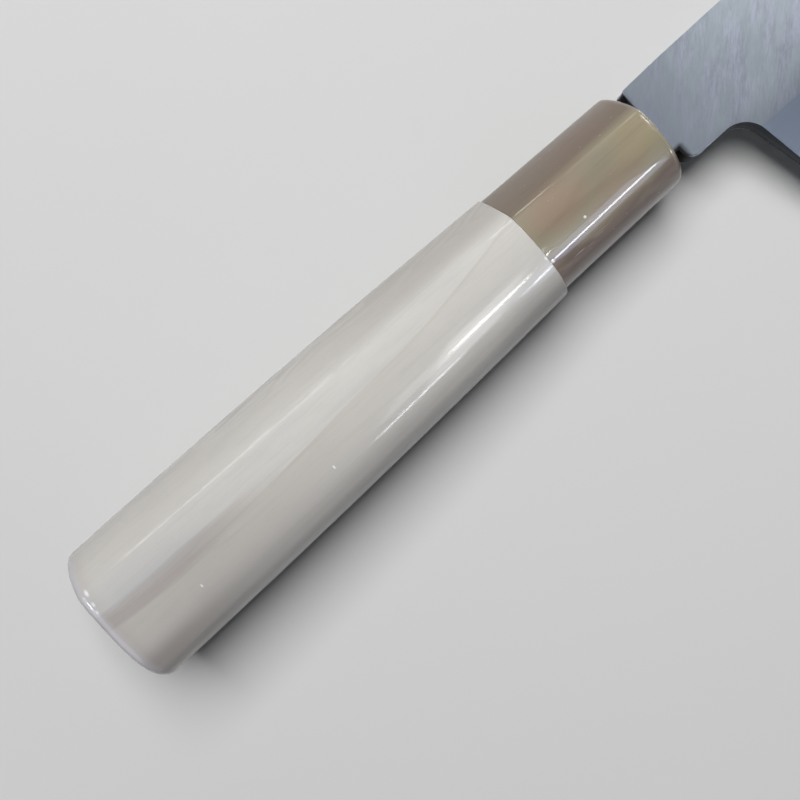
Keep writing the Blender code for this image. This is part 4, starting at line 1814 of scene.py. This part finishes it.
@dataclass
class Studio:
    """The table, the lamps and the camera.

    Attributes:
        axes: The knife's axes.
        eye: Where the camera stands, in the knife's axes.
        up: What is up in its picture.
        lens: Its focal length, in millimetres.
        sensor: The width of its sensor, in millimetres.
        near_clip: What is nearer than this isn't shown.
        floor_size: The side of the table top.
        floor_colour: The table top's colour.
        lighter: How much lighter its lightest patches are.
        bounce_share: How much of its light reaches the knife from below.
        fill: The room's even fill light.
        overhead: The backdrop overhead, on the side of the edge and on the side of the spine.
        side: Which way the backdrop overhead grows lighter.
        side_fade: From where to where along that way it does.
        horizon: How bright the backdrop is round the horizon.
        horizon_fade: How high the backdrop overhead is full, and how high it starts.
        fade_centre: The middle of the table, round which it fades into the backdrop.
        fade_reach: How far from there it starts to fade and has faded.
    """

    axes: KnifeAxes
    eye: Triple = (0.0671, -0.0058, 0.1638)
    up: Triple = (0.674, 0.738, 0.0)
    lens: float = 38.6
    sensor: float = 36.0
    near_clip: float = 0.01
    floor_size: float = 6.0
    floor_colour: Colour = (0.66, 0.66, 0.655)
    bounce_share: float = 0.35
    lighter: float = 1.02
    fill: Colour = (0.07, 0.072, 0.078)
    overhead: tuple[Colour, Colour] = ((0.25, 0.26, 0.28), (0.31, 0.32, 0.335))
    side: Triple = (0.1, 1.0, 0.0)
    side_fade: Pair = (-0.55, 0.25)
    horizon: float = 0.80
    horizon_fade: Pair = (0.50, 0.12)
    fade_centre: Triple = (0.17, 0.0, 0.0)
    fade_reach: Pair = (0.185, 0.43)

    LAMPS = (
        Lamp(
            "key_lamp", (-0.12, 0.43, 1.00), (0.68, 0.43, 1.00), width=0.8, level=7.1,
            target=(0.09, 0.0, 0.0), use=LampUse.LIGHT,
        ),
        Lamp(
            "window_edge", (0.206, -0.205, 0.336), (0.140, -0.197, 0.355), width=0.020, level=18.0,
            target=(0.090, -0.005, 0.009), colour=(0.97, 0.98, 1.0),
        ),
        Lamp(
            "window_pane", (0.165, -0.199, 0.352), (0.075, -0.189, 0.366), width=0.080, level=2.0,
            target=(0.075, -0.006, 0.010), colour=(0.97, 0.98, 1.0),
        ),
        Lamp(
            "window_glow", (0.197, -0.222, 0.341), (0.120, -0.215, 0.355), width=0.200, level=3.4,
            target=(0.090, -0.005, 0.009), colour=(0.96, 0.98, 1.0),
        ),
        Lamp(
            "tube_rear", (0.142, -0.294, 0.283), (0.062, -0.290, 0.291), width=0.018, level=12.0,
            target=(0.071, -0.007, 0.0095), colour=(0.88, 0.90, 1.0),
        ),
        Lamp(
            "tube_front", (0.206, -0.285, 0.275), (0.287, -0.257, 0.275), width=0.022, level=16.0,
            target=(0.118, -0.006, 0.008), colour=(0.90, 0.94, 1.0),
        ),
        Lamp(
            "tube_glow", (0.200, -0.290, 0.280), (0.290, -0.260, 0.280), width=0.150, level=2.4,
            target=(0.118, -0.006, 0.008), colour=(0.62, 0.70, 1.0),
        ),
        Lamp(
            "ridge_rear", (-0.130, 0.330, 0.290), (0.067, 0.330, 0.290), width=0.040, level=3.8,
            target=(0.030, 0.006, 0.009), colour=(1.0, 0.96, 1.0),
        ),
        Lamp(
            "ridge_front", (0.213, 0.330, 0.290), (0.255, 0.330, 0.285), width=0.030, level=9.0,
            target=(0.110, 0.005, 0.009),
        ),
        Lamp(
            "ridge_fade", (0.255, 0.330, 0.285), (0.340, 0.330, 0.270), width=0.026, level=1.6,
            target=(0.125, 0.005, 0.008),
        ),
        Lamp(
            "spine_card", (0.290, 0.280, 0.215), (0.440, 0.260, 0.215), width=0.090, level=1.3,
            target=(0.155, 0.009, 0.002), colour=(0.95, 0.95, 1.0),
        ),
        Lamp(
            "butt_upper_spark", (-0.275, 0.150, 0.300), (-0.275, 0.190, 0.300), width=0.045, level=32.0,
            target=(0.001, 0.006, 0.010), colour=(0.92, 0.94, 1.0),
        ),
        Lamp(
            "butt_lower_spark", (-0.275, 0.060, 0.300), (-0.275, 0.105, 0.300), width=0.045, level=32.0,
            target=(0.001, 0.004, 0.010), colour=(0.92, 0.94, 1.0),
        ),
        Lamp(
            "butt_card", (-0.320, -0.250, 0.220), (-0.340, 0.220, 0.220), width=0.380, level=1.4,
            target=(0.001, 0.0, 0.010), colour=(0.90, 0.90, 1.0),
        ),
        Lamp(
            "rim_card", (0.475, 0.035, 0.205), (0.475, 0.120, 0.205), width=0.040, level=24.0,
            target=(0.134, 0.002, 0.008), colour=(1.0, 0.97, 0.90),
        ),
        Lamp(
            "rim_low_card", (0.415, -0.215, 0.120), (0.435, -0.185, 0.120), width=0.030, level=22.0,
            target=(0.134, -0.007, 0.005),
        ),
        Lamp(
            "blade_card", (0.395, -0.010, 0.330), (0.395, 0.170, 0.330), width=0.120, level=1.05,
            target=(0.168, 0.0, 0.002), colour=(0.95, 0.97, 1.0),
        ),
    )

    def set_table(self) -> Piece:
        """Lays the pale table top, which fades into the backdrop, under the knife.

        Returns:
            The table top.
        """
        bpy.ops.mesh.primitive_grid_add(x_subdivisions=8, y_subdivisions=8, size=self.floor_size)
        table = Bench.fresh("table_top")
        graph = Graph("pale_table", self.axes)
        tone = graph.grain(0.05, 0.05, detail=2.0)
        colour = graph.mix(tone, self.floor_colour, tuple(part * self.lighter for part in self.floor_colour))
        held_back = graph.mix(1 - self.bounce_share, colour, BLACK)
        seen = self.straight_rays(graph)
        away = graph.length(graph.vector("SUBTRACT", graph.here, self.fade_centre))
        far = graph.product(graph.spread(away, *self.fade_reach), seen)
        graph.set(
            Base_Color=graph.layered(held_back, (seen, colour), (far, BLACK)),
            Roughness=0.9,
            Specular_IOR_Level=0.0,
            Emission_Color=(self.horizon,) * 3,
            Emission_Strength=far,
        )
        Bench.dress(table, graph.material)
        return table

    def set_sky(self) -> None:
        """Gives the room a soft even fill, and a pale backdrop that gloss and metal mirror.

        The backdrop is pale all round the horizon. Overhead it is greyer, most of all on the
        side of the cutting edge.
        """
        world = bpy.data.worlds.new("pale_room")
        bpy.context.scene.world = world
        world.use_nodes = True
        sky = Nodes(world.node_tree)
        way = sky.add("TexCoord").outputs["Generated"]
        up = sky.toward(way, Vector((0, 0, 1)))
        spineward = sky.toward(way, self.axes.direction(*self.side))
        overhead = sky.mix(sky.spread(spineward, *self.side_fade), *self.overhead)
        seen = sky.mix(sky.spread(up, *self.horizon_fade), overhead, (self.horizon,) * 3)
        background = sky.nodes["Background"]
        sky.fill(background.inputs["Color"], sky.mix(self.straight_rays(sky), self.fill, seen))

    @staticmethod
    def straight_rays(graph: Nodes) -> Socket:
        """1 for what the camera sees, straight or mirrored, and 0 for light scattered onto a surface."""
        path = graph.add("LightPath").outputs
        return graph.most(*(path[f"Is {way} Ray"] for way in ("Camera", "Glossy", "Transmission")))

    def set_camera(self) -> None:
        """Sets the camera at the photograph's viewing angle."""
        data = bpy.data.cameras.new("camera")
        data.lens = self.lens
        data.sensor_width = self.sensor
        data.clip_start = self.near_clip
        camera = bpy.data.objects.new("camera", data)
        bpy.context.scene.collection.objects.link(camera)
        up = self.axes.direction(*self.up)
        back = self.axes.direction(0, 0, 1)
        right = up.cross(back).normalized()
        camera.matrix_world = posed(self.axes.point(*self.eye), right, up, back)
        bpy.context.scene.camera = camera

    def build(self) -> None:
        """Sets up the whole studio."""
        self.set_table()
        self.set_sky()
        for lamp in self.LAMPS:
            lamp.hang(self.axes)
        self.set_camera()
        bpy.context.scene.view_settings.view_transform = "Standard"


def stand_in(piece: Piece, node: str) -> None:
    """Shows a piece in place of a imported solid.

    Args:
        piece: The finished piece.
        node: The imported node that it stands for.
    """
    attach(piece, BODY)
    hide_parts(node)
    log.info("%s: %d faces, stands for %s", piece.name, len(piece.data.polygons), node)


def main() -> None:
    """Builds the studio and the knife."""
    logging.basicConfig(level=logging.INFO, format="%(message)s")
    axes = KnifeAxes.from_record(frame["record"])
    Studio(axes).build()
    handle = WaHandle(axes)
    stand_in(handle.make_wood(MagnoliaFinish()), "magnolia_handle")
    stand_in(handle.make_ferrule(HornFinish()), "horn_ferrule")
    iron = SteelFinish(
        "soft_iron",
        flat=(0.462, 0.510, 0.565),
        bevel=(0.41, 0.47, 0.57),
        flat_roughness=0.34,
        bevel_roughness=0.28,
        line_angle=math.radians(43),
        line_depth=0.000004,
    )
    steel = replace(
        iron,
        name="edge_steel",
        flat=(0.56, 0.59, 0.64),
        bevel=(0.54, 0.58, 0.64),
        flat_roughness=0.26,
        bevel_roughness=0.20,
        line_depth=0.000003,
    )
    cladding, core = UsubaBlade(axes).make_layers(iron, steel)
    stand_in(cladding, "blade_cladding")
    stand_in(core, "blade_edge_steel")


if __name__ == "__main__":
    main()
